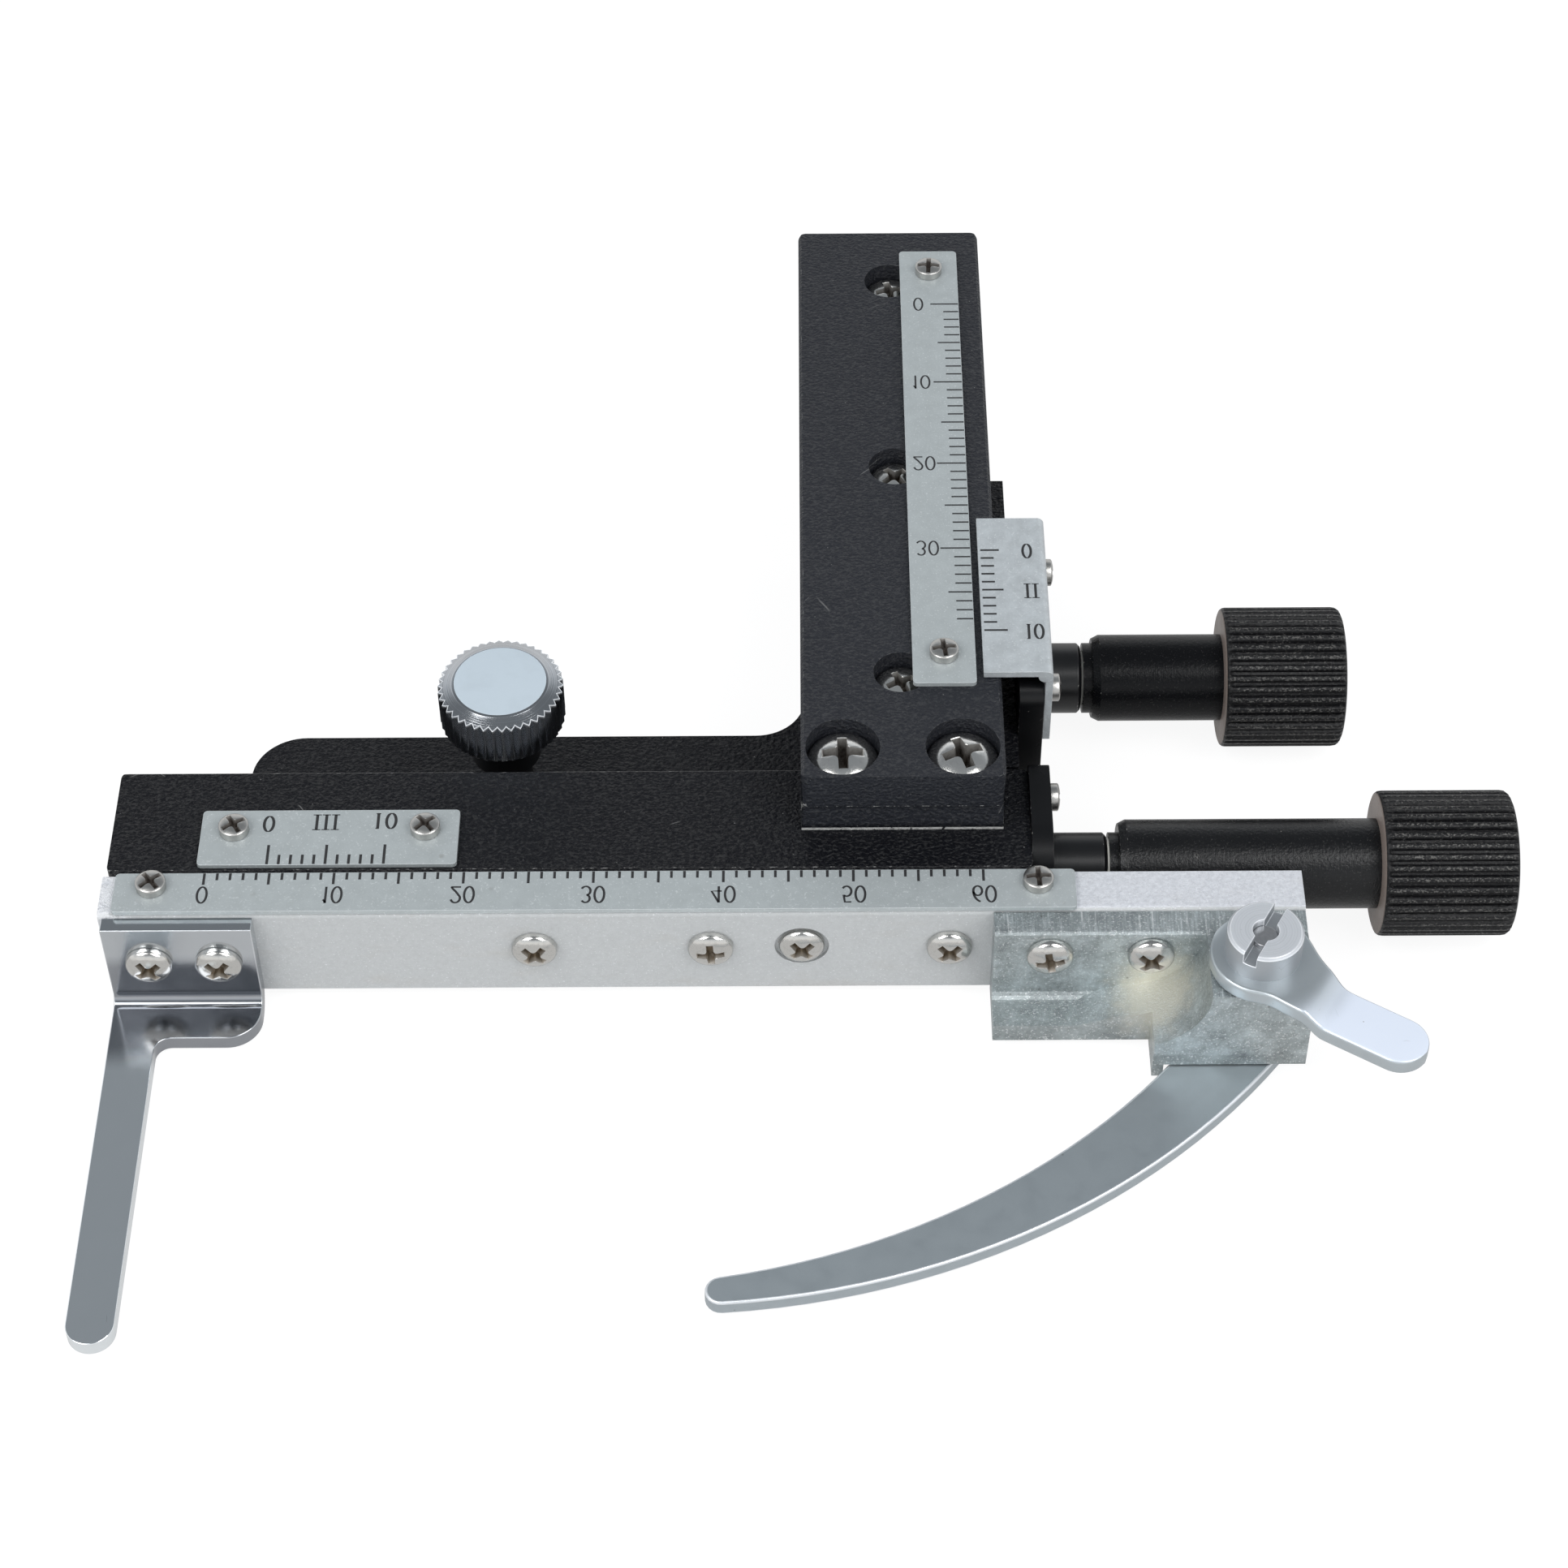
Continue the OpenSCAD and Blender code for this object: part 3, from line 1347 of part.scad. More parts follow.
// The lever's side view: the disc, a step down and the arm
module lever_side_view() {
    z1 = lever_z0 + lever_t;
    far = lever_reach + lever_end_r + over;
    step_x = norm([fb_x1 - pivot_x, housing_y0 - pivot_y]) + slide_gap;
    run = lever_drop * step_run_share;
    polygon([[-lever_disc_r - over, lever_z0], [step_x, lever_z0],
        [step_x + run, lever_z0 - lever_drop], [far, lever_z0 - lever_drop],
        [far, z1 - lever_drop], [step_x + run, z1 - lever_drop],
        [step_x - run * joggle_share, z1], [-lever_disc_r - over, z1]]);
}

module release_lever() {
    half = lever_disc_r + lever_end_r;
    color([0.78, 0.79, 0.8])
        translate([pivot_x, pivot_y, 0])
            rotate([0, 0, lever_aim])
                difference() {
                    intersection() {
                        linear_extrude(height = lever_z0 + lever_t + over)
                            lever_plan();
                        translate([0, half, 0])
                            rotate([90, 0, 0])
                                linear_extrude(height = half * 2)
                                    lever_side_view();
                    }
                    cylinder(r = pivot_r, h = lever_z0 + lever_t + over);
                }
}

nut_edge = 0.2;

module lever_nut() {
    z0 = lever_z0 + lever_t;
    color([0.75, 0.76, 0.77])
        translate([pivot_x, pivot_y, z0])
            difference() {
                rotate_extrude()
                    polygon([[stud_r, 0], [nut_r, 0], [nut_r, nut_h - nut_edge], [nut_r - nut_edge, nut_h],
                        [stud_r, nut_h]]);
                rotate([0, 0, nut_slot_aim])
                    block(-nut_r - over, nut_r + over, -nut_slot_w / 2, nut_slot_w / 2,
                        nut_h - nut_slot_d, nut_h + over);
            }
}

// Clamp screw
shoulder_z0 = arm_t + clamp_lift;
shoulder_z1 = shoulder_z0 + shoulder_l;
spigot_share = 0.75;
head_bevel = 0.55;
knurl_depth = 0.36;

module clamp_stud() {
    color([0.12, 0.12, 0.13])
        union() {
            zcyl(clamp_r, 0, shoulder_z0, 0, 0);
            zcyl(shoulder_r, shoulder_z0, shoulder_z1, 0, 0);
            zcyl(shaft_r, shoulder_z1, shoulder_z1 + head_h * spigot_share, 0, 0);
        }
}

module clamp_head() {
    z0 = shoulder_z1 + fit;
    rim = head_r - knurl_depth;
    fall = head_bevel / (head_r - face_r);
    color([0.72, 0.75, 0.78])
        translate([0, 0, z0])
            difference() {
                intersection() {
                    rotate_extrude()
                        polygon([[0, 0], [head_r - head_bevel, 0], [head_r + over, head_bevel + over],
                            [head_r + over, head_h - head_bevel - over * fall],
                            [face_r, head_h], [0, head_h]]);
                    linear_extrude(height = head_h)
                        polygon([for (i = [0 : head_teeth - 1]) each [
                            polar(rim, (i - 1 / 2) * 360 / head_teeth),
                            polar(head_r, i * 360 / head_teeth)]]);
                }
                translate([0, 0, -over])
                    cylinder(r = shaft_r + fit, h = head_h * spigot_share + over + fit);
            }
}

base_plate();
y_bearing_plate();
y_plate_screws();
y_bush();
y_vernier_bracket();
y_vernier_screws();
y_bar();
y_scale_plate();
y_scale_screws();
y_slide_strip();
y_slide_screws();
y_rack();
x_body();
x_body_bolts();
x_vernier_plate();
x_vernier_screws();
x_bearing_plate();
x_bearing_screws();
x_bush();
x_bar();
x_scale_plate();
x_scale_screws();
x_slide_rack();
x_rack_screws();
fixed_finger();
fixed_finger_screws();
finger_bracket();
finger_bracket_screws();
torsion_spring();
y_pinion_shaft();
y_knob_sleeve();
y_knob();
y_grub_screw();
y_thrust_washer();
x_worm_shaft();
x_knob_sleeve();
x_knob();
x_grub_screw();
x_thrust_washer();
curved_finger();
pivot_post();
release_lever();
lever_nut();
clamp_stud();
clamp_head();
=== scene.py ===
"""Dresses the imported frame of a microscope's mechanical stage: finishes, scales, screws, knobs and levers."""
import functools
import math

import bmesh
import bpy
from bpy.props import FloatProperty, FloatVectorProperty, IntProperty, PointerProperty
from mathutils import Matrix, Vector


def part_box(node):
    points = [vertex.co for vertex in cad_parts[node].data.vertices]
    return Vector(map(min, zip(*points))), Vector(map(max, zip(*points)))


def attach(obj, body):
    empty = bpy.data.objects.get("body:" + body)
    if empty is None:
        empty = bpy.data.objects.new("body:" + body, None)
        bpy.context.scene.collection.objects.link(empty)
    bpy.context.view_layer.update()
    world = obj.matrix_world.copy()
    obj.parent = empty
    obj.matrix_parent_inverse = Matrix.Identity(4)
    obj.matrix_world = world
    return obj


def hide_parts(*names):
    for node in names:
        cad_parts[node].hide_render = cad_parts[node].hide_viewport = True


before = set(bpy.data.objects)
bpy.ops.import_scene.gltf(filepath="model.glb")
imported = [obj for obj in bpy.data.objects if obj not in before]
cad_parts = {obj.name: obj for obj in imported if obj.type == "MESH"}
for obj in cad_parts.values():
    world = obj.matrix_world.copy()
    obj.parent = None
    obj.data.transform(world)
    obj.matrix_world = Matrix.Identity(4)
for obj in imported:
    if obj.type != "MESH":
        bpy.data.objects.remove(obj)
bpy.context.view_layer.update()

bl_info = {
    "name": "Mechanical stage finish",
    "version": (1, 0, 0),
    "blender": (4, 5, 0),
    "location": "3D View > Sidebar > Mechanical stage",
    "description": "Finishes, engraves and lights a microscope's mechanical stage",
    "category": "Object",
}

MM = 0.001
COLOUR = {"subtype": "COLOR", "size": 3}


class CameraSettings(bpy.types.PropertyGroup):
    """Where the picture is taken from."""

    place: FloatVectorProperty(name="Place", description="Camera position in millimetres", size=3,
                               default=(24.006, -198.064, 224.788))
    pitch: FloatProperty(name="Pitch", description="Angle of the view below the horizon", subtype="ANGLE",
                         default=math.radians(48.307))
    yaw: FloatProperty(name="Yaw", description="Turn of the view to the right", subtype="ANGLE",
                       default=math.radians(-0.462))
    roll: FloatProperty(name="Roll", description="Tilt of the picture", subtype="ANGLE",
                        default=math.radians(-0.657))
    lens: FloatProperty(name="Lens", description="Focal length in mm on a 36 mm sensor", default=83.64)


class LightSettings(bpy.types.PropertyGroup):
    """The studio round the object."""

    high_sky: FloatProperty(name="High sky", description="Brightness overhead", default=0.27)
    low_sky: FloatProperty(name="Low sky", description="Brightness of the backdrop", default=1.0)
    sky_low: FloatProperty(name="Fade start", description="Height where the fade starts", default=0.36)
    sky_high: FloatProperty(name="Fade end", description="Height where the fade ends", default=0.74)
    softbox: FloatProperty(name="Softbox", description="Radiance of each softbox", default=4.2)
    floor_glow: FloatProperty(name="Floor glow", description="Share of plain white on the floor", default=0.8)
    floor_seen: FloatProperty(name="Mirrored floor", description="Brightness in metal", default=0.62)


class FinishSettings(bpy.types.PropertyGroup):
    """Colours of the finishes."""

    paint: FloatVectorProperty(name="Paint", description="Grained black paint",
                               default=(0.0032, 0.0035, 0.0054), **COLOUR)
    gloss: FloatVectorProperty(name="Gloss black", description="Smooth black plates",
                               default=(0.004, 0.0042, 0.005), **COLOUR)
    knob: FloatVectorProperty(name="Knob black", description="Moulded knobs",
                              default=(0.0038, 0.0038, 0.0046), **COLOUR)
    plate: FloatVectorProperty(name="Scale plate", description="Matt engraved aluminium",
                               default=(0.45, 0.488, 0.495), **COLOUR)
    aluminium: FloatVectorProperty(name="Aluminium", description="Blasted slide bar",
                                   default=(0.53, 0.545, 0.55), **COLOUR)
    chrome: FloatVectorProperty(name="Chrome", description="Plating", default=(0.82, 0.86, 0.91), **COLOUR)
    zinc: FloatVectorProperty(name="Zinc", description="Casting", default=(0.47, 0.52, 0.53), **COLOUR)
    nickel: FloatVectorProperty(name="Nickel", description="Screws", default=(0.63, 0.62, 0.595), **COLOUR)
    brass: FloatVectorProperty(name="Brass", description="Racks", default=(0.72, 0.53, 0.24), **COLOUR)


class ScaleSettings(bpy.types.PropertyGroup):
    """The engraved scales, in millimetres."""

    line: FloatProperty(name="Line", description="Width of a graduation", default=0.17)
    numeral_h: FloatProperty(name="Numeral height", description="Height of a numeral", default=1.62)
    numeral_w: FloatProperty(name="Numeral width", description="Width of a numeral", default=0.80)
    pen: FloatProperty(name="Pen", description="Width of a numeral's upright strokes", default=0.15)
    x_zero: FloatProperty(name="X zero", description="Place of the X scale's zero", default=-22.2)
    x_length: IntProperty(name="X length", description="Millimetres on the X scale", default=60)
    y_zero: FloatProperty(name="Y zero", description="Place of the Y scale's zero", default=42.6)
    y_length: IntProperty(name="Y length", description="Millimetres on the Y scale", default=38)
    vernier: FloatProperty(name="Vernier", description="Pitch of the Y vernier", default=0.9)


class TurningSettings(bpy.types.PropertyGroup):
    """Knobs, screws and knurls."""

    ribs: IntProperty(name="Ribs", description="Ribs round each knob", default=40)
    rib_depth: FloatProperty(name="Rib depth", description="Depth of the ribs in mm", default=0.4)
    teeth: IntProperty(name="Knurls", description="Teeth round the clamp screw's head", default=42)
    tooth_depth: FloatProperty(name="Knurl depth", description="Depth of the knurl in mm", default=0.36)


class StageSettings(bpy.types.PropertyGroup):
    """Everything that a user would change."""

    camera: PointerProperty(type=CameraSettings)
    light: PointerProperty(type=LightSettings)
    finish: PointerProperty(type=FinishSettings)
    scale: PointerProperty(type=ScaleSettings)
    turning: PointerProperty(type=TurningSettings)


def settings():
    return bpy.context.scene.mechanical_stage


def box(node):
    """Lowest and highest corner of a CAD node in millimetres."""
    return [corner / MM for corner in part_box(node)]


def joiner(word, swapped=False):
    """A method of Sig that joins two values."""
    return lambda a, b: a.join(word, b, a) if swapped else a.join(word, a, b)


class Sig:
    """A shader socket that Python's arithmetic works on."""

    def __init__(self, finish, socket):
        self.finish = finish
        self.socket = socket

    def join(self, word, a, b):
        if self.socket.type == "VECTOR":
            return self.finish.node("ShaderNodeVectorMath", {"operation": word}, {0: a, 1: b})
        if self.socket.type == "RGBA":
            return self.finish.node("ShaderNodeMix", {"data_type": "RGBA", "blend_type": word},
                                    {0: 1.0, 6: a, 7: b}, out=2)
        return self.finish.node("ShaderNodeMath", {"operation": word}, {0: a, 1: b})

    __add__, __radd__ = joiner("ADD"), joiner("ADD", True)
    __sub__, __rsub__ = joiner("SUBTRACT"), joiner("SUBTRACT", True)
    __mul__, __rmul__ = joiner("MULTIPLY"), joiner("MULTIPLY", True)

    def ramp(self, start, stop, low, high, kind="SMOOTHSTEP"):
        """low up to start, high from stop on."""
        return self.finish.node("ShaderNodeMapRange", {"interpolation_type": kind},
                                {0: self, 1: start, 2: stop, 3: low, 4: high})

    def below(self, edge, soft):
        """1 well under edge and 0 well over it."""
        return self.ramp(edge - soft, edge + soft, 1.0, 0.0)

    def above(self, edge, soft):
        """1 well over edge and 0 well under it."""
        return self.ramp(edge - soft, edge + soft, 0.0, 1.0)

    def spread(self, low, high):
        """A value from 0 to 1 taken to low to high."""
        return self.ramp(0.0, 1.0, low, high, "LINEAR")


class Finish:
    """One material and the nodes that make it."""

    def __init__(self, name, owner=None):
        self.owner = owner or bpy.data.materials.new(name)
        self.owner.use_nodes = True
        self.tree = self.owner.node_tree
        self.tree.nodes.clear()

    def node(self, kind, choices=None, inputs=None, out=0):
        """Adds a node: its settings first, then its sockets."""
        made = self.tree.nodes.new(kind)
        for word, value in (choices or {}).items():
            setattr(made, word, value)
        for word, value in (inputs or {}).items():
            self.plug(made.inputs[word], value)
        return Sig(self, made.outputs[out])

    def plug(self, socket, value):
        if isinstance(value, Sig):
            self.tree.links.new(value.socket, socket)
        else:
            if socket.type in ("RGBA", "VECTOR") and not hasattr(value, "__len__"):
                value = (value, value, value)
            socket.default_value = (*value, 1.0) if socket.type == "RGBA" else value

    def place(self):
        """Where the surface is, in millimetres."""
        return self.node("ShaderNodeTexCoord", out=3) * (1 / MM)

    def noise(self, at, per_mm, detail=3.0, rough=0.55, out=0):
        return self.node("ShaderNodeTexNoise", {}, {"Vector": at, "Scale": per_mm, "Detail": detail,
                                                    "Roughness": rough}, out)

    def cells(self, at, per_mm, feature="F1", out=0):
        return self.node("ShaderNodeTexVoronoi", {"feature": feature}, {"Vector": at, "Scale": per_mm}, out)

    def turned(self, along, per_mm):
        """Noise along one value, as a lathe leaves it."""
        return self.node("ShaderNodeTexNoise", {"noise_dimensions": "1D"},
                         {"W": along, "Scale": per_mm, "Detail": 3.0})

    def axis(self, at, which):
        return self.node("ShaderNodeSeparateXYZ", {}, {0: at}, which)

    def distance(self, at, centre):
        return self.node("ShaderNodeVectorMath", {"operation": "DISTANCE"}, {0: at, 1: centre}, out=1)

    def upward(self):
        """1 on faces that look up."""
        return self.axis(self.node("ShaderNodeNewGeometry", out=1), 2)

    def either(self, a, b):
        return self.node("ShaderNodeMath", {"operation": "MAXIMUM"}, {0: a, 1: b})

    def blend(self, share, a, b):
        """a where share is 0 and b where it is 1, as colours."""
        return self.node("ShaderNodeMix", {"data_type": "RGBA"}, {0: share, 6: a, 7: b}, out=2)

    def coats(self, colour, *coats):
        """Lays each coat's tone over the colour by its share."""
        for share, tone in coats:
            colour = self.blend(share, colour, tone)
        return colour

    def bump(self, height, depth, strength):
        return self.node("ShaderNodeBump", {},
                         {"Height": height, "Distance": depth * MM, "Strength": strength})

    def shade(self, colour, rough, metallic, normal, shine=0.5):
        """Closes the material with a Principled surface."""
        self.close(self.node("ShaderNodeBsdfPrincipled", {}, {
            "Base Color": colour, "Roughness": rough, "Metallic": metallic, "Normal": normal,
            "Specular IOR Level": shine}))
        return self.owner

    def painted(self, layer):
        """A value that the mesh carries."""
        return self.node("ShaderNodeAttribute", {"attribute_name": layer}, out=2)

    def edge(self):
        """1 on the rounded edges of a softened piece."""
        return self.painted("edge")

    def close(self, surface):
        kind = "World" if isinstance(self.owner, bpy.types.World) else "Material"
        output = self.tree.nodes.new("ShaderNodeOutput" + kind)
        self.tree.links.new(surface.socket, output.inputs[0])


def specks(finish, at, per_mm, size, share, soft=0.04):
    """Sparse round specks: 1 on them."""
    cell = finish.cells(at, per_mm)
    pick = finish.axis(finish.cells(at, per_mm, out=1), 0)
    return cell.below(size, soft) * pick.above(1 - share, 0.01)


def hairs(finish, at, per_mm, thin, share, stretch):
    """Sparse thin scratches or fibres: 1 on them."""
    bent = at * stretch + finish.noise(at, per_mm * 0.7, 2.0, out=1) * 1.3
    line = finish.cells(bent, per_mm, "DISTANCE_TO_EDGE").below(thin, thin * 0.6)
    return line * finish.noise(at + 7.3, per_mm * 0.8, 1.0).above(1 - share, 0.02)


# Colours of what shows through a finish or lies on it, and of painted light and painted highlights
# Painted light: the lighter grey painted on the Y bar and on what stands higher
HIGHER_PAINT_PAINTED_LIGHT = (0.018, 0.0195, 0.0245)
# Bare casting where paint is chipped or worn, also used for painted highlights on the black paint
BARE_CASTING_AND_HIGHLIGHT = (0.42, 0.42, 0.41)
# Dust, scuffs and chips on black, also used for painted highlights on the knobs' rib tips
PALE_DUST_AND_HIGHLIGHT = (0.35, 0.34, 0.32)
# A lit brownish grey painted on the knobs' left faces as painted light
KNOB_FACE_PAINTED_LIGHT = (0.37, 0.30, 0.265)
BRIGHT_GRAIN = (0.82, 0.85, 0.86)
# Painted highlight along the rounded edges of plated pieces and on the clamp head's tooth tips
PAINTED_EDGE_HIGHLIGHT = (0.95, 0.97, 1.0)
DARK_PIT = (0.16, 0.15, 0.14)
# In millimetres: how far a dressed knob ends before its solid's left and right end, how far the Y bar's front
# foot stands out, and the height of the ledge over it
KNOB_INSET, FOOT_SPLAY, FOOT_LEDGE = (0.5, 0.7), 0.55, 2.65
# Takes the height out of a place
LEVEL = (1, 1, 0)


def scaled(tone, share):
    return tuple(min(1.0, c * share) for c in tone)


def grained_paint():
    """Black stove enamel with a fine leather grain, dust, lint and chipped edges, and painted light: the higher
    castings painted lighter, highlights on the grain and along the Y bar's ledge.
    """
    f = Finish("grained_black_paint")
    at = f.place()
    warped = at + f.noise(at, 2.0, out=1) * 0.35
    leather = f.noise(warped * (0.8, 1.25, 1.0), 3.7, 2.0, 0.5)
    height = leather + f.cells(warped, 3.4, "SMOOTH_F1") * 0.45
    dust = specks(f, at, 2.2, 0.075, 0.05, 0.03) + specks(f, at, 0.8, 0.035, 0.16, 0.012)
    fluff = hairs(f, at, 0.22, 0.005, 0.30, (1.0, 0.6, 1.0))
    low, high = box("y_bar")
    along, across, up = (f.axis(at, i) for i in range(3))
    front = (across.below(low.y + 0.6, 0.05) * across.above(low.y - FOOT_SPLAY - 0.13, 0.03)
             * along.above(low.x, 0.05) * along.below(high.x, 0.05) * up.above(low.z + 0.03, 0.015))
    foot = up.below(low.z + 0.24, 0.04)
    ledge = up - low.z - FOOT_LEDGE
    step = ledge.below(0.05, 0.03) * ledge.above(-0.1, 0.04)
    corner = f.distance(at, (low.x, low.y, low.z + 2.5)) + f.noise(at, 3.2, 4.0, 0.7) * 1.1
    # The foot's line is chipped paint; the line along the ledge above it is a painted highlight with a few
    # chips
    chips_and_highlights = front * (foot * f.noise(at, 1.8, 3.0).above(0.36, 0.05)
                     + step * f.noise(at, 2.6, 3.0).above(0.58, 0.05)) + corner.below(0.98, 0.05)
    worn = f.edge() * (f.noise(at, 2.4, 4.0).above(0.60, 0.06) * 0.4 + 0.02)
    # The leather grain's raised tips are lightened as a painted highlight, along with the dust, lint, chips and
    # wear
    light = dust * 0.5 + fluff * 0.3 + chips_and_highlights * 0.9 + worn + leather.above(0.58, 0.05) * 0.038
    # Painted light: paint above the Y bar's foot is painted lighter, the lower castings darker
    tone = f.blend(up.above(low.z + 0.5, 0.3), settings().finish.paint, HIGHER_PAINT_PAINTED_LIGHT)
    colour = f.blend(light, tone, BARE_CASTING_AND_HIGHLIGHT)
    rough = f.noise(at, 0.12, 2.0).spread(0.28, 0.38) + leather * 0.08
    return f.shade(colour, rough, 0.0, f.bump(height, 0.15, 1.0), 0.22)


def knob_faces(f, at):
    """1 on the knobs' left faces, which are painted a lit brownish grey as painted light."""
    past = [f.axis(at, 0) - (box(knob)[0].x + KNOB_INSET[0]) for knob in ("y_knob", "x_knob")]
    left, right = (p.above(-0.2, 0.05) * p.below(0.06, 0.03) for p in past)
    return left + right


def gloss_black(name, rough, turned=False, grit=0.0, shine=0.5, knob=False):
    """Smooth black with dust, scuffs and chipped edges. grit roughens it, and a knob gets painted highlights on
    its rib tips and painted light on its left faces.
    """
    f = Finish(name)
    at = f.place()
    dust = specks(f, at, 1.6, 0.07, 0.06, 0.02) + glitter(f, at, 6.0, 0.66) * grit * 0.22
    scuffs = hairs(f, at, 0.8, 0.010, 0.28, (2.2, 0.5, 0.5) if turned else (0.3, 1.0, 1.0))
    height = f.noise(at, 6.0, 2.0) * 0.5 + f.noise(at, 3.8, 3.0, 0.6) * grit * 8.0
    if turned:
        height = height + f.turned(f.axis(at, 0), 9.0) * 0.8
    chips_and_highlights = f.edge() * f.noise(at, 3.0, 4.0).above(0.64, 0.05)
    tone = settings().finish.knob if knob else settings().finish.gloss
    # Painted highlight: a knob's rib tips are lightened with bright specks
    if knob:
        chips_and_highlights = chips_and_highlights + f.painted("tip") * glitter(f, at * (0.7, 1.0, 1.0), 7.0, 0.57) * 0.55
    colour = f.blend(dust * 0.5 + scuffs * 0.18 + chips_and_highlights * 0.6, tone, PALE_DUST_AND_HIGHLIGHT)
    # Painted light: the knobs' left end faces are painted a lit brownish grey
    if knob:
        colour = f.blend(knob_faces(f, at) * 0.62, colour, KNOB_FACE_PAINTED_LIGHT)
    smudge = f.noise(at, 0.25, 3.0)
    return f.shade(colour, smudge.spread(rough * 0.8, rough * 1.35), 0.0, f.bump(height, 0.008, 0.8), shine)


def glitter(finish, at, per_mm, floor=0.64):
    """Fine bright grains with ragged outlines, the more the lower the floor."""
    return finish.noise(at, per_mm, 2.0, 0.6).above(floor, 0.05)


def scale_metal(name="engraved_sheet", tone=None, mottle=0.15, dents=0.0):
    """Matt anodised sheet with a fine sparkle and paler edges."""
    f = Finish(name)
    at = f.place()
    tone = tone or settings().finish.plate
    grain = f.noise(at, 9.0, 2.0, 0.7)
    cloud = f.noise(at, 0.9, 5.0, 0.6)
    dirt = specks(f, at, 0.5, 0.10, 0.12, 0.06)
    colour = f.blend(cloud, scaled(tone, 1 - mottle), scaled(tone, 1 + mottle))
    colour = f.coats(colour, (glitter(f, at, 5.5, 0.64) * 0.35 + f.edge() * 0.4, BRIGHT_GRAIN),
                     (dirt * 0.35, (0.22, 0.21, 0.19)))
    height = grain + f.noise(at, 1.4, 3.0) * dents
    return f.shade(colour, cloud.spread(0.5, 0.34), 0.35 + f.edge() * 0.3, f.bump(height, 0.02, 0.9))


def blasted_aluminium():
    """Bright blasted bar, with stains and chipped pale edges."""
    f = Finish("blasted_aluminium")
    at = f.place()
    grain = f.noise(at, 3.0, 4.0, 0.75)
    sand = (grain - 0.5) * 2.6 + 0.5
    stain = f.noise(at * (0.4, 1.0, 1.0), 0.3, 4.0).above(0.62, 0.1)
    specky = specks(f, at, 0.45, 0.06, 0.14, 0.03)
    tone = settings().finish.aluminium
    low, high = box("x_bar")
    top = f.axis(at, 2).above(high.z - 0.06, 0.04)
    end = f.axis(at, 0).below(low.x + 2.2, 0.5) * f.noise(at, 1.1, 4.0, 0.7).above(0.42, 0.08)
    colour = f.blend(sand, scaled(tone, 0.92), scaled(tone, 1.04))
    worn = glitter(f, at, 5.5, 0.66) * 0.4 + f.edge() * 0.5 + end * 0.6
    # Painted light: the top face is painted paler and bluer than the front, as though lit from above
    colour = f.coats(colour, (top * 0.85, f.blend(sand, (0.60, 0.615, 0.66), (0.80, 0.82, 0.87))),
                     (worn, (0.92, 0.93, 0.95)), (stain * 0.15 + specky * 0.55, (0.42, 0.36, 0.28)))
    return f.shade(colour, grain.spread(0.42, 0.56), 0.3 + f.edge() * 0.5,
                   f.bump(grain * (1.0 + top * 1.5 + end * 3.0), 0.05, 0.9))


def bright_plating(name, tone, rough, wave=0.2, metallic=1.0, rings=None, zone=None, rim=0.7):
    """Plated steel with faint ripples, pits, scratches and painted highlights on its rounded edges.

    rings is the middle of turned rings. zone gives the share, tone and metallic value of a part painted in
    another tone; the zones below paint reflections, shade and highlights.
    """
    f = Finish(name)
    at = f.place()
    smudge = f.noise(at, 0.5, 4.0)
    ripple = f.noise(at, 0.35, 2.0)
    grain = f.noise(at, 6.0, 3.0)
    pit = specks(f, at, 0.9, 0.06, 0.12, 0.02)
    scratch = hairs(f, at, 0.5, 0.004, 0.25, (1.0, 0.35, 1.0))
    colour = f.blend(smudge.above(0.58, 0.15) * 0.3, tone, scaled(tone, 0.84))
    if zone:
        share, other, plated = zone(f, at)
        colour = f.blend(share, colour, other)
        metallic = share * (plated - metallic) + metallic
    # Painted highlights on the edges, then pits and scratches
    colour = f.coats(colour, (f.edge() * rim, PAINTED_EDGE_HIGHLIGHT), (pit * 0.6 + scratch * 0.3, DARK_PIT))
    height = ripple * wave * 6.0 + grain * 0.25
    if rings:
        turned = f.turned(f.distance(at * LEVEL, rings), 5.0)
        height = height + turned * 6.0
        colour = f.blend(turned.above(0.55, 0.06) * 0.3, colour, scaled(tone, 0.7))
    return f.shade(colour, smudge.spread(rough, rough * 1.8), metallic, f.bump(height, 0.006, 0.7))


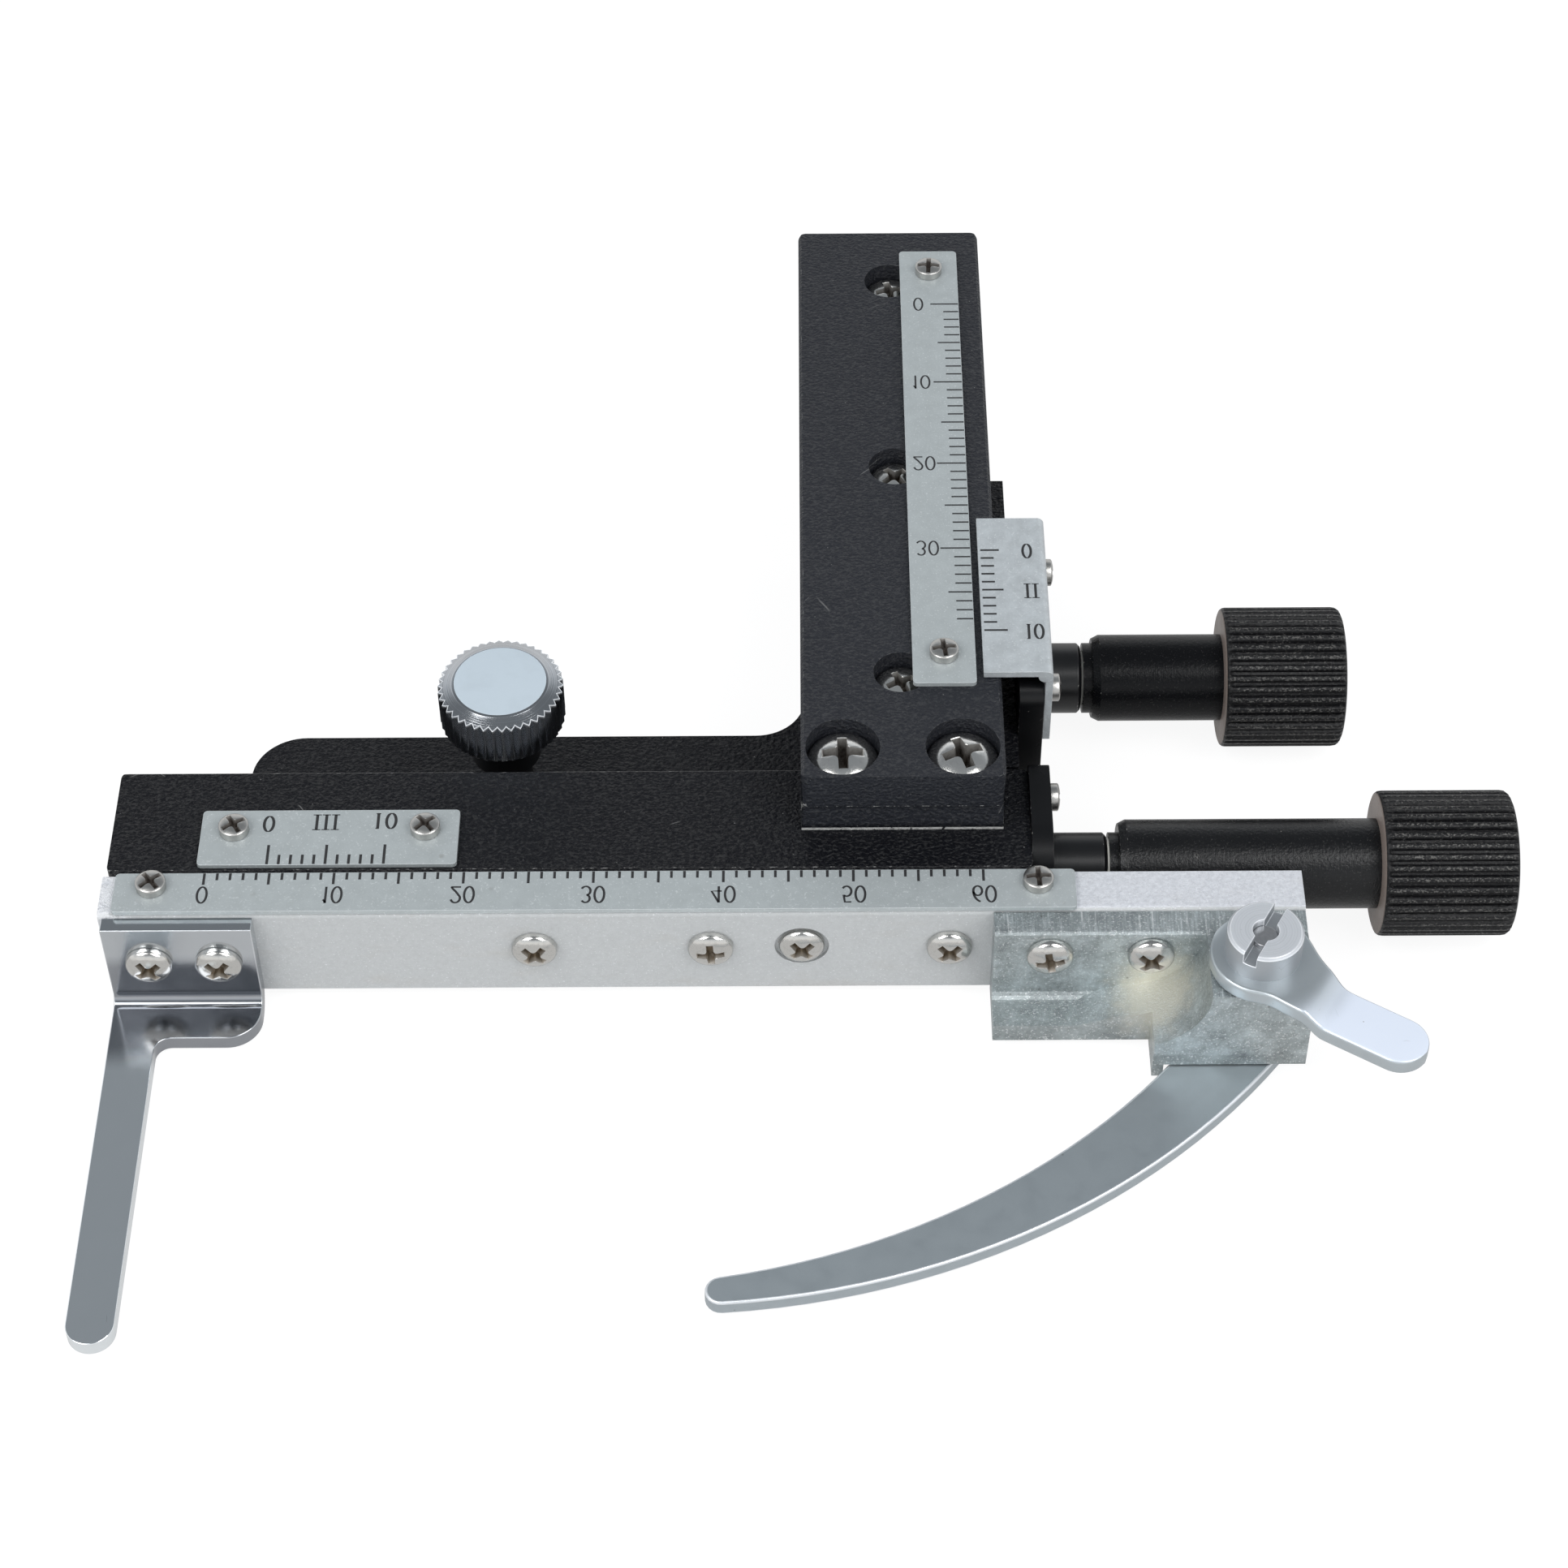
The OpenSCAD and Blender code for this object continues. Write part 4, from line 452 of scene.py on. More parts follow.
def passivated_zinc():
    """Casting with a mottled plated skin, fine sparkle, pale edges, a pale yellowish glow painted round the
    hollow as painted light and painted shade towards the bottom.
    """
    f = Finish("passivated_zinc")
    at = f.place()
    tone = settings().finish.zinc
    low, high = box("finger_bracket")
    mottle = f.noise(at, 2.2, 5.0, 0.75)
    cloud = f.noise(at, 0.45, 3.0)
    grain = f.noise(at, 5.0, 4.0, 0.7)
    brushed = f.noise(at * (7.0, 0.4, 0.4), 0.9, 3.0)
    top = f.axis(at, 2).above(high.z - 0.12, 0.1)
    hollow = (high.x - 11.2, low.y + 4.6, 4.6)
    # Painted light: a pale yellowish glow round the hollow, fading away from it
    hollow_painted_light = (f.distance(at, hollow) + f.noise(at, 0.9, 3.0) * 3.0).below(4.6, 1.6) * 0.8
    shade = (mottle - 0.5) * 1.3 + (cloud - 0.5) * 1.5 + 0.5
    colour = f.blend(shade, scaled(tone, 0.48), scaled(tone, 1.35))
    flakes = glitter(f, at * (1.0, 1.6, 1.0), 5.5, 0.62)
    dirt = specks(f, at, 0.9, 0.09, 0.12, 0.03)
    # Among these coats, the part near the bottom is painted darker as painted shade
    colour = f.coats(colour, (top * brushed.above(0.5, 0.12) * 0.6, (0.26, 0.29, 0.30)),
                     (top * brushed.below(0.36, 0.05) * 0.6, (0.85, 0.87, 0.87)),
                     (f.axis(at, 2).below(low.z + 2.6, 0.25) * 0.3, (0.16, 0.18, 0.18)),
                     (hollow_painted_light, (0.82, 0.80, 0.70)),
                     (flakes * 0.6 + f.edge() * mottle.spread(0.2, 1.5), (0.90, 0.92, 0.92)),
                     (dirt * 0.5, (0.12, 0.11, 0.09)))
    height = grain + brushed * top * 0.6 + f.edge() * mottle
    return f.shade(colour, cloud.spread(0.44, 0.24), 0.8, f.bump(height, 0.08, 0.9))


def screw_nickel(name="nickel_screws", dim=1.0, rough=0.12, dirt=(0.16, 0.12, 0.075)):
    """Nickel heads with dirt and painted shade in the recess."""
    f = Finish(name)
    at = f.place()
    recess_dirt_and_shade = f.painted("recess_dirt_and_shade")
    smudge = f.noise(at, 3.0, 3.0)
    tone = scaled(settings().finish.nickel, dim)
    colour = f.blend(smudge.above(0.6, 0.1) * 0.3, tone, scaled(tone, 0.75))
    # The recess takes the dirt colour: part dirt, part painted shade
    colour = f.blend(recess_dirt_and_shade * smudge.spread(0.75, 1.15), colour, dirt)
    return f.shade(colour, smudge.spread(rough, rough + 0.1) + recess_dirt_and_shade * 0.3, 1.0 - recess_dirt_and_shade * 0.7,
                   f.bump(smudge + f.noise(at, 12.0, 2.0) * 0.3, 0.02, 0.5))


def dull_metal(name, tone, rough, metallic=1.0):
    f = Finish(name)
    grain = f.noise(f.place(), 3.0, 4.0)
    colour = f.blend(grain, scaled(tone, 0.8), scaled(tone, 1.15))
    return f.shade(colour, grain.spread(rough * 0.8, rough * 1.2), metallic, f.bump(grain, 0.02, 0.6))


def engraving_ink():
    f = Finish("engraving_black")
    grain = f.noise(f.place(), 8.0, 2.0)
    return f.shade(f.blend(grain, (0.008, 0.008, 0.009), (0.03, 0.03, 0.032)), grain.spread(0.5, 0.75), 0.0,
                   f.bump(grain, 0.01, 0.5))


def finger_zone(f, at):
    """The flange's upper half and the arm, which mirror a brighter part of the room than the bend does."""
    low, high = box("fixed_finger")
    arm = f.axis(at, 1).below(high.y - 7.0, 1.4)
    upper = f.axis(at, 2).above(mix(low.z, high.z, 0.62), 1.0)
    return arm + upper * 0.38, (0.94, 0.98, 1.0), 1.0


def lever_zone(f, at):
    """The lever's arm past its step, painted paler than the disc under the nut as a painted reflection."""
    past = f.distance(at * LEVEL, centre("lever_nut")).above(6.2, 1.8)
    return past * f.upward().above(0.72, 0.2), (0.74, 0.80, 0.91), 0.12


def nut_zone(f, at):
    """The nut's turned side, painted darker than its face as painted shade."""
    return f.axis(at, 2).below(box("lever_nut")[1].z - 0.22, 0.06) * 0.8, (0.33, 0.35, 0.37), 0.6


def head_zone(f, at):
    """The clamp head's upward-facing bevel, painted darker as painted shade, and the tips of its teeth, painted
    as bright highlights.
    """
    tips = f.edge() * f.noise(at, 2.5, 3.0).spread(0.45, 1.2)
    tone = f.blend(tips, (0.44, 0.455, 0.475), (0.80, 0.82, 0.85))
    return f.upward().above(0.6, 0.15) + tips, tone, tips * -0.75 + 1.0


def centre(node):
    """The middle of a node seen from above."""
    low, high = box(node)
    return ((low.x + high.x) / 2, (low.y + high.y) / 2, 0.0)


@functools.cache
def finish(name):
    """The material of that name, made when it is first asked for."""
    return {
        "paint": grained_paint,
        "gloss": lambda: gloss_black("gloss_black_plate", 0.28, shine=0.3),
        "bush": lambda: gloss_black("black_bush", 0.30, turned=True),
        "sleeve": lambda: gloss_black("black_sleeve", 0.26, turned=True, grit=0.8, shine=0.36),
        "short_sleeve": lambda: gloss_black("black_short_sleeve", 0.24, turned=True, grit=0.5, shine=0.16),
        "knob": lambda: gloss_black("satin_black_knob", 0.36, grit=1.6, shine=0.30, knob=True),
        "black_steel": lambda: gloss_black("blackened_steel", 0.42),
        "plate": scale_metal,
        "aluminium": blasted_aluminium,
        "head": lambda: bright_plating("knurled_chrome", settings().finish.chrome, 0.12, 0.3,
                                       rings=centre("clamp_head"), zone=head_zone),
        "face": lambda: bright_plating("satin_face", (0.485, 0.56, 0.62), 0.5, 0.05, 0.0),
        "finger": lambda: bright_plating("finger_chrome", (0.36, 0.375, 0.40), 0.10, 0.3, zone=finger_zone,
                                         rim=0.35),
        "steel": lambda: bright_plating("grey_plated_steel", (0.47, 0.52, 0.55), 0.3, 0.1, 0.85),
        "lever": lambda: bright_plating("satin_lever_plate", (0.50, 0.545, 0.57), 0.22, 0.25, 0.75,
                                        zone=lever_zone),
        "nut": lambda: bright_plating("turned_nut", (0.64, 0.665, 0.70), 0.28, 0.05, 0.45,
                                      rings=centre("lever_nut"), zone=nut_zone),
        "bracket": lambda: scale_metal("bent_bracket_sheet", (0.50, 0.535, 0.555), 0.3, 3.0),
        "zinc": passivated_zinc,
        "nickel": screw_nickel,
        "dull_nickel": lambda: screw_nickel("small_screws", 0.78, 0.28, (0.07, 0.055, 0.045)),
        "bolt_nickel": lambda: screw_nickel("sunk_bolts", 1.3, 0.13, (0.03, 0.02, 0.012)),
        "shaft": lambda: dull_metal("ground_shaft_steel", (0.55, 0.55, 0.56), 0.3),
        "brass": lambda: dull_metal("milled_brass", settings().finish.brass, 0.35),
        "nylon": lambda: dull_metal("nylon_washer", (0.75, 0.74, 0.68), 0.5, 0.0),
        "ink": engraving_ink,
    }[name]()


def coat(node, name):
    """Gives a CAD node its finish."""
    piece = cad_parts[node]
    piece.data.materials.clear()
    piece.data.materials.append(finish(name))
    return piece


def piece_from(bm, name, material, sharp=0.6):
    """Turns a finished bmesh into a smooth-shaded piece with crisp edges."""
    bmesh.ops.recalc_face_normals(bm, faces=bm.faces)
    for face in bm.faces:
        face.smooth = True
    for edge in bm.edges:
        edge.smooth = len(edge.link_faces) == 2 and edge.calc_face_angle(0.0) < sharp
    mesh = bpy.data.meshes.new(name)
    bm.to_mesh(mesh)
    bm.free()
    mesh.materials.append(finish(material))
    made = bpy.data.objects.new(name, mesh)
    bpy.context.scene.collection.objects.link(made)
    return made


# Angles between faces, in radians, up to which they share a normal: on plain faces and on rounded edges
SLIGHT_TURN, WIDE_TURN = 0.5, 1.1


def crisp_normals(made):
    """Keeps flat and turned faces true up to their rounded edges, as a machined piece has them."""
    bm = bmesh.new()
    bm.from_mesh(made.data)
    layer = bm.faces.layers.float["edge"]
    normals = []
    for face in bm.faces:
        rounded = face[layer] > 0.5
        limit = math.cos(WIDE_TURN if rounded else SLIGHT_TURN)
        for loop in face.loops:
            around = loop.vert.link_faces
            near = [g for g in around if g[layer] < 0.5 and g.normal.dot(face.normal) > limit]
            if rounded and not near:
                near = [g for g in around if g.normal.dot(face.normal) > limit]
            total = sum((g.normal * g.calc_area() for g in near), Vector())
            normals.append(total.normalized() if total.length > 0 else face.normal.copy())
    bm.free()
    made.data.normals_split_custom_set(normals)


def seat(made, body, slot, *nodes):
    """The piece rides on its body and stands for its nodes. The slot is not used."""
    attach(made, body)
    if nodes:
        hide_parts(*nodes)
    return made


def clean_copy(node):
    """A CAD node's mesh with its flat faces whole again."""
    bm = bmesh.new()
    bm.from_mesh(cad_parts[node].data)
    bmesh.ops.remove_doubles(bm, verts=bm.verts, dist=1e-4 * MM)
    bmesh.ops.dissolve_limit(bm, angle_limit=0.004, verts=bm.verts, edges=bm.edges)
    return bm


def solids(node):
    """Lowest and highest corner of each solid of a node, in millimetres."""
    bm = clean_copy(node)
    left = set(bm.verts)
    found = []
    while left:
        joined = [left.pop()]
        for vert in joined:
            new = [e.other_vert(vert) for e in vert.link_edges if e.other_vert(vert) in left]
            left.difference_update(new)
            joined += new
        group = [vert.co / MM for vert in joined]
        found.append((Vector(map(min, *group)), Vector(map(max, *group))))
    bm.free()
    return sorted(found, key=lambda pair: tuple(round(c, 3) for c in pair[0]))


def soften(node, width, material, body, slot, segments=2, angle=0.5):
    """A copy of a CAD node with each edge over that angle rounded, as casting or plating leaves it."""
    bm = clean_copy(node)
    edges = [e for e in bm.edges if len(e.link_faces) == 2 and e.calc_face_angle(0.0) > angle]
    layer = bm.faces.layers.float.new("edge")
    rounded = bmesh.ops.bevel(bm, geom=edges, offset=width * MM, segments=segments, profile=0.5,
                              affect="EDGES", clamp_overlap=True, offset_type="OFFSET")
    for face in rounded["faces"]:
        face[layer] = 1.0
    made = piece_from(bm, node + "_finished", material, 0.7)
    crisp_normals(made)
    return seat(made, body, slot, node)


def skin(bm, loops, ring=True, caps=True, joined=False):
    """Faces between loops of points, each loop joined to the next. Returns the rows of corners."""
    rows = [[bm.verts.new(Vector(p) * MM) for p in loop] for loop in loops]
    pairs = list(zip(rows, rows[1:])) + ([(rows[-1], rows[0])] if joined else [])
    count = len(rows[0])
    for low, high in pairs:
        for i in range(count if ring else count - 1):
            j = (i + 1) % count
            bm.faces.new((low[i], low[j], high[j], high[i]))
    if caps and not joined:
        bm.faces.new(list(reversed(rows[0])))
        bm.faces.new(rows[-1])
    return rows


def smooth_step(x, low, high):
    t = min(1.0, max(0.0, (x - low) / (high - low)))
    return t * t * (3 - 2 * t)


def mix(a, b, t):
    return a + (b - a) * t


def arc(cx, cy, rx, ry, start, stop, count):
    """Points round part of an ellipse, angles in degrees."""
    angles = [math.radians(mix(start, stop, i / count)) for i in range(count + 1)]
    return [(cx + rx * math.cos(a), cy + ry * math.sin(a)) for a in angles]


# Strokes of each numeral in a box 1 wide and 2 high. A stroke that ends where it starts is closed
STROKES = {
    "0": [arc(0.5, 1.0, 0.46, 0.98, 90, 450, 28)],
    "1": [[(0.55, 0.0), (0.55, 2.0)], [(0.55, 2.0), (0.44, 1.75), (0.2, 1.58)]],
    "2": [arc(0.5, 1.45, 0.44, 0.53, 165, -25, 14) + [(0.5, 0.62), (0.2, 0.28), (0.06, 0.04)],
          [(0.03, 0.05), (0.97, 0.05)]],
    "3": [arc(0.47, 1.5, 0.40, 0.48, 150, -70, 14), arc(0.47, 0.55, 0.45, 0.55, 80, -150, 16)],
    "4": [[(0.72, 0.0), (0.72, 2.0)], [(0.72, 2.0), (0.03, 0.6), (1.0, 0.6)]],
    "5": [[(0.9, 1.96), (0.28, 1.96), (0.18, 1.08)] + arc(0.47, 0.64, 0.45, 0.62, 118, -145, 16)],
    "6": [arc(0.52, 0.6, 0.42, 0.58, 90, 450, 24), arc(0.98, 0.7, 0.88, 1.28, 105, 180, 12)],
    "I": [[(0.5, 0.0), (0.5, 2.0)], [(0.05, 1.96), (0.95, 1.96)], [(0.05, 0.04), (0.95, 0.04)]],
    "1s": [[(0.55, 0.0), (0.55, 2.0)], [(0.2, 1.96), (0.55, 1.96)], [(0.2, 0.04), (0.9, 0.04)]],
}
# Widths of the narrow strokes as shares of a numeral's width, and the gap between the strokes of II and III
NARROW = {"1": 0.62, "I": 0.88}
ROMAN_GAP = 0.02
# How far the ink stands over and reaches under its plate
INK_PROUD, INK_SUNK = 0.012, 0.02


def stroke(bm, line, pen, thin, place):
    """A raised ribbon along a drawn line, wide where it runs upright and thin where it runs level."""
    closed = math.dist(line[0], line[-1]) < 1e-6
    points = [Vector(place(*p)) for p in (line[:-1] if closed else line)]
    loops = []
    for i, point in enumerate(points):
        before = points[i - 1] if i or closed else point
        after = points[(i + 1) % len(points)] if i < len(points) - 1 or closed else point
        run = (after - before).normalized()
        side = Vector((-run.y, run.x))
        half = pen * mix(thin, 1.0, abs(run.y)) / 2
        left, right = point + side * half, point - side * half
        loops.append([(*left, INK_PROUD), (*right, INK_PROUD), (*right, -INK_SUNK), (*left, -INK_SUNK)])
    skin(bm, loops, joined=closed)


def numeral(bm, text, cx, cy, width, height, pen, thin, gap=0.28, serif=False):
    """Draws text centred on a place and flipped top to bottom, as the photographed plates have it."""
    widths = [width * NARROW.get(c, 1.0) for c in text]
    spacing = (ROMAN_GAP if "I" in text else gap) * width
    x = cx - (sum(widths) + spacing * (len(text) - 1)) / 2
    for c, w in zip(text, widths):
        for line in STROKES["1s" if c == "1" and serif else c]:
            stroke(bm, line, pen, thin, lambda u, v: (x + u * w, cy + height / 2 - v * height / 2))
        x += w + spacing


# Half the floor's side and its height, in millimetres
FLOOR_HALF, FLOOR_HEIGHT = 1500, -0.02
# Softboxes: degrees to each side, rise over the floor, side and distance in metres, and what they look at
SOFTBOX_AZIMUTH, SOFTBOX_RISE = 52, math.radians(52)
SOFTBOX_SIZE, SOFTBOX_DISTANCE = 0.36, 0.62
SOFTBOX_AIM = (0.02, -0.01, 0.0)


class STAGE_OT_backdrop(bpy.types.Operator):
    """Sets the camera, the white floor, the sky and the softboxes."""

    bl_idname = "mechanical_stage.backdrop"
    bl_label = "Backdrop and camera"

    def execute(self, context):
        scene = context.scene
        view = settings().camera
        data = bpy.data.cameras.new("camera")
        data.lens = view.lens
        data.sensor_width = 36
        data.clip_start = 0.01
        camera = bpy.data.objects.new("camera", data)
        scene.collection.objects.link(camera)
        camera.matrix_world = (
            Matrix.Translation(Vector(view.place) * MM) @ Matrix.Rotation(-view.yaw, 4, "Z")
            @ Matrix.Rotation(math.pi / 2 - view.pitch, 4, "X") @ Matrix.Rotation(view.roll, 4, "Z"))
        scene.camera = camera
        scene.view_settings.view_transform = "Standard"
        self.floor()
        self.sky(scene)
        for name, azimuth in (("softbox_left", -SOFTBOX_AZIMUTH), ("softbox_right", SOFTBOX_AZIMUTH)):
            self.softbox(scene, name, math.radians(azimuth))
        return {"FINISHED"}

    def floor(self):
        """A white floor that keeps the object's shadow and looks darker in metal."""
        bm = bmesh.new()
        half, z = FLOOR_HALF, FLOOR_HEIGHT
        skin(bm, [[(-half, -half, z), (half, -half, z)], [(-half, half, z), (half, half, z)]], ring=False,
             caps=False)
        floor = piece_from(bm, "floor", "ink")
        f = Finish("white_floor")
        light = settings().light
        path = f.node("ShaderNodeLightPath")
        camera, glossy, passing = (Sig(f, path.socket.node.outputs[ray]) for ray in (0, 3, 6))
        seen = f.either(camera, passing)
        plain = f.node("ShaderNodeBsdfDiffuse", {}, {"Color": (0.86, 0.86, 0.86)})
        strength = seen * (1.12 - light.floor_seen) + light.floor_seen
        glow = f.node("ShaderNodeEmission", {}, {"Color": (1.0, 1.0, 1.0), "Strength": strength})
        shown = f.either(seen, glossy) * light.floor_glow
        f.close(f.node("ShaderNodeMixShader", {}, {0: shown, 1: plain, 2: glow}))
        floor.data.materials[0] = f.owner

    def sky(self, scene):
        world = bpy.data.worlds.new("studio")
        scene.world = world
        f = Finish("studio", world)
        light = settings().light
        height = f.axis(f.node("ShaderNodeTexCoord"), 2)
        fade = height.ramp(light.sky_low, light.sky_high, light.low_sky, light.high_sky)
        tint = f.blend(height.above(0.45, 0.4), (1.0, 1.0, 1.0), (0.86, 0.93, 1.0))
        f.close(f.node("ShaderNodeBackground", {}, {"Color": tint, "Strength": fade}))

    def softbox(self, scene, name, azimuth):
        data = bpy.data.lights.new(name, "AREA")
        data.shape = "SQUARE"
        data.size = SOFTBOX_SIZE
        data.energy = settings().light.softbox * math.pi * SOFTBOX_SIZE * SOFTBOX_SIZE
        lamp = bpy.data.objects.new(name, data)
        scene.collection.objects.link(lamp)
        level = math.cos(SOFTBOX_RISE)
        away = Vector((math.sin(azimuth) * level, -math.cos(azimuth) * level, math.sin(SOFTBOX_RISE)))
        lamp.location = Vector(SOFTBOX_AIM) + away * SOFTBOX_DISTANCE
        lamp.rotation_mode = "QUATERNION"
        lamp.rotation_quaternion = away.to_track_quat("Z", "Y")


class STAGE_OT_castings(bpy.types.Operator):
    """Paints the base, the Y bar and the X body, with softly rounded edges."""

    bl_idname = "mechanical_stage.castings"
    bl_label = "Painted castings"

    def execute(self, context):
        soften("base_plate", 0.22, "paint", "base", "black_texture_paint")
        self.splay(soften("y_bar", 0.12, "paint", "y_carriage", "black_texture_paint"))
        soften("x_body", 0.12, "paint", "y_carriage", "black_texture_paint")
        soften("y_bearing_plate", 0.15, "gloss", "base", "black_gloss_plate")
        soften("x_bearing_plate", 0.15, "gloss", "y_carriage", "black_gloss_plate")
        return {"FINISHED"}

    def splay(self, bar):
        """Lets the front foot of the Y bar stand a little forward, as the casting has it."""
        low = box("y_bar")[0]
        for vert in bar.data.vertices:
            if vert.co.y / MM < low.y + 0.6 and vert.co.z / MM < low.z + 0.4:
                vert.co.y -= FOOT_SPLAY * MM


class STAGE_OT_slide(bpy.types.Operator):
    """Blasts the slide bar and finishes the plates on it."""

    bl_idname = "mechanical_stage.slide"
    bl_label = "Slide bar and scale plates"

    def execute(self, context):
        soften("x_bar", 0.12, "aluminium", "x_slide", "bare_aluminium")
        soften("x_scale_plate", 0.035, "plate", "x_slide", "engraved_aluminium")
        soften("y_scale_plate", 0.035, "plate", "y_carriage", "engraved_aluminium")
        soften("x_vernier_plate", 0.035, "plate", "y_carriage", "engraved_aluminium")
        soften("y_vernier_bracket", 0.1, "bracket", "base", "engraved_aluminium")
        return {"FINISHED"}


class STAGE_OT_engraving(bpy.types.Operator):
    """Cuts the graduations and numerals of the two scales and the two verniers."""

    bl_idname = "mechanical_stage.engraving"
    bl_label = "Graduations and numerals"

    def execute(self, context):
        self.x_scale()
        self.y_scale()
        self.x_vernier()
        self.y_vernier()
        return {"FINISHED"}

    def engrave(self, name, plate, body, ticks, line, texts, size, pen, thin, gap=0.28, serif=False):
        """Draws ticks and texts, and lays them on top of a plate."""
        bm = bmesh.new()
        for x0, y0, x1, y1 in ticks:
            stroke(bm, [(x0, y0), (x1, y1)], line, 1.0, lambda u, v: (u, v))
        for text, x, y in texts:
            numeral(bm, text, x, y, *size, pen, thin, gap, serif)
        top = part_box(plate)[1].z
        for vert in bm.verts:
            vert.co.z += top
        seat(piece_from(bm, name, "ink", 0.3), body, "engraved_aluminium")

    def x_scale(self):
        s = settings().scale
        edge = box("x_scale_plate")[1].y - 0.05
        places = [(t, s.x_zero + t) for t in range(s.x_length + 1)]
        ticks = [(x, edge, x, edge - (1.14 if t % 5 == 0 else 0.68)) for t, x in places]
        row, drift = -18.56, -0.005
        texts = [(str(t), x, row + drift * t) for t, x in places if t % 10 == 0]
        self.engrave("x_scale_marks", "x_scale_plate", "x_slide", ticks, s.line * 1.2, texts,
                     (s.numeral_w, s.numeral_h), s.pen * 1.2, 0.75)

    def y_scale(self):
        s = settings().scale
        edge = box("y_scale_plate")[1].x - 0.05
        places = [(t, s.y_zero - t) for t in range(s.y_length + 1)]
        reach = [2.39] + [1.3] * 4 + [1.89] + [1.3] * 4
        ticks = [(edge, y, edge - reach[t % 10], y) for t, y in places]
        column = 34.15
        texts = [(str(t), column, y) for t, y in places if t % 10 == 0]
        self.engrave("y_scale_marks", "y_scale_plate", "y_carriage", ticks, s.line * 0.85, texts,
                     (s.numeral_w * 0.98, s.numeral_h), s.pen, 0.75)

    def x_vernier(self):
        s = settings().scale
        edge = box("x_vernier_plate")[0].y + 0.06
        zero, pitch = -17.52, 0.903
        places = [(t, zero + t * pitch) for t in range(11)]
        ticks = [(x, edge, x, edge + (1.95 if t % 5 == 0 else 0.95)) for t, x in places]
        texts = (("0", -17.7, -11.36), ("III", -13.25, -11.22), ("10", -8.62, -11.12))
        self.engrave("x_vernier_marks", "x_vernier_plate", "y_carriage", ticks, s.line * 1.25, texts,
                     (s.numeral_w, s.numeral_h * 0.98), s.pen * 1.5, 0.35, 0.5, True)

    def y_vernier(self):
        s = settings().scale
        edge = box("y_vernier_bracket")[0].x + 0.2
        zero = 12.05
        places = [(t, zero - t * s.vernier) for t in range(11)]
        ticks = [(edge, y, edge + {0: 1.5, 5: 1.7, 10: 1.85}.get(t, 1.05), y) for t, y in places]
        texts = (("0", 42.15, 11.92), ("II", 42.34, 7.4), ("10", 42.39, 2.88))
        self.engrave("y_vernier_marks", "y_vernier_bracket", "base", ticks, s.line * 1.05, texts,
                     (s.numeral_w * 0.9, s.numeral_h), s.pen * 1.35, 0.35, 0.35, True)


# Reach and half width of a cross recess as shares of the head, its depth and the rim as shares of the height
SMALL = (0.80, 0.16, 0.8, 0.70)
FRONT = (0.60, 0.15, 0.8, 0.28)
BOLT = (0.55, 0.13, 0.8, 0.50)
# Share of dirt and painted shade from a recess's lip down, and the shank's radius as a share of the head's
RECESS_DIRT_AND_SHADE, SHANK = (0.6, 1.0, 1.0), 0.56
# Body, axis, head height, growth of the head, cross recess of the head and the turn of each screw
SCREWS = {
    "y_vernier_screws": ("base", "X", 0.75, 1.05, SMALL, (20, 50)),
    "y_scale_screws": ("y_carriage", "Z", 0.75, 1.1, SMALL, (8, -3)),
    "y_slide_screws": ("y_carriage", "Z", 1.0, 1.2, BOLT, (25, 40, 12)),
    "x_body_bolts": ("y_carriage", "Z", 1.5, 1.42, BOLT, (2, 20)),
    "x_vernier_screws": ("y_carriage", "Z", 0.75, 1.12, SMALL, (32, 40)),
    "x_bearing_screws": ("y_carriage", "X", 0.75, 1.05, SMALL, (20, 35)),
    "x_scale_screws": ("x_slide", "Z", 0.75, 1.12, SMALL, (40, 3)),
    "x_rack_screws": ("x_slide", "Y", 1.0, 1.04, FRONT, (48, 4, 42, 45)),
    "fixed_finger_screws": ("x_slide", "Y", 1.0, 1.06, FRONT, (38, 48)),
    "finger_bracket_screws": ("x_slide", "Y", 1.0, 1.06, FRONT, (10, 52)),
}


def cross_outline(angle, reach, half):
    """Distance from the middle of a cross recess to its outline, in the direction of angle."""
    c, s = abs(math.cos(angle)), abs(math.sin(angle))
    big, small = max(c, s), min(c, s)
    end = reach / max(big, 1e-6)
    side = half / max(small, 1e-6)
    return min(end, max(side, half * 1.85))


def recess_angles(reach, half):
    """Angles that hold every corner of the cross, with a few between."""
    corner = math.atan2(half, reach)
    quarter = [0.0, corner * 0.5, corner * 0.999, corner * 1.001, mix(corner, math.pi / 4, 0.4),
               mix(corner, math.pi / 4, 0.75), math.pi / 4]
    half_turn = quarter + [math.pi / 2 - a for a in reversed(quarter[1:-1])]
    return [a + math.pi / 2 * k for k in range(4) for a in half_turn]


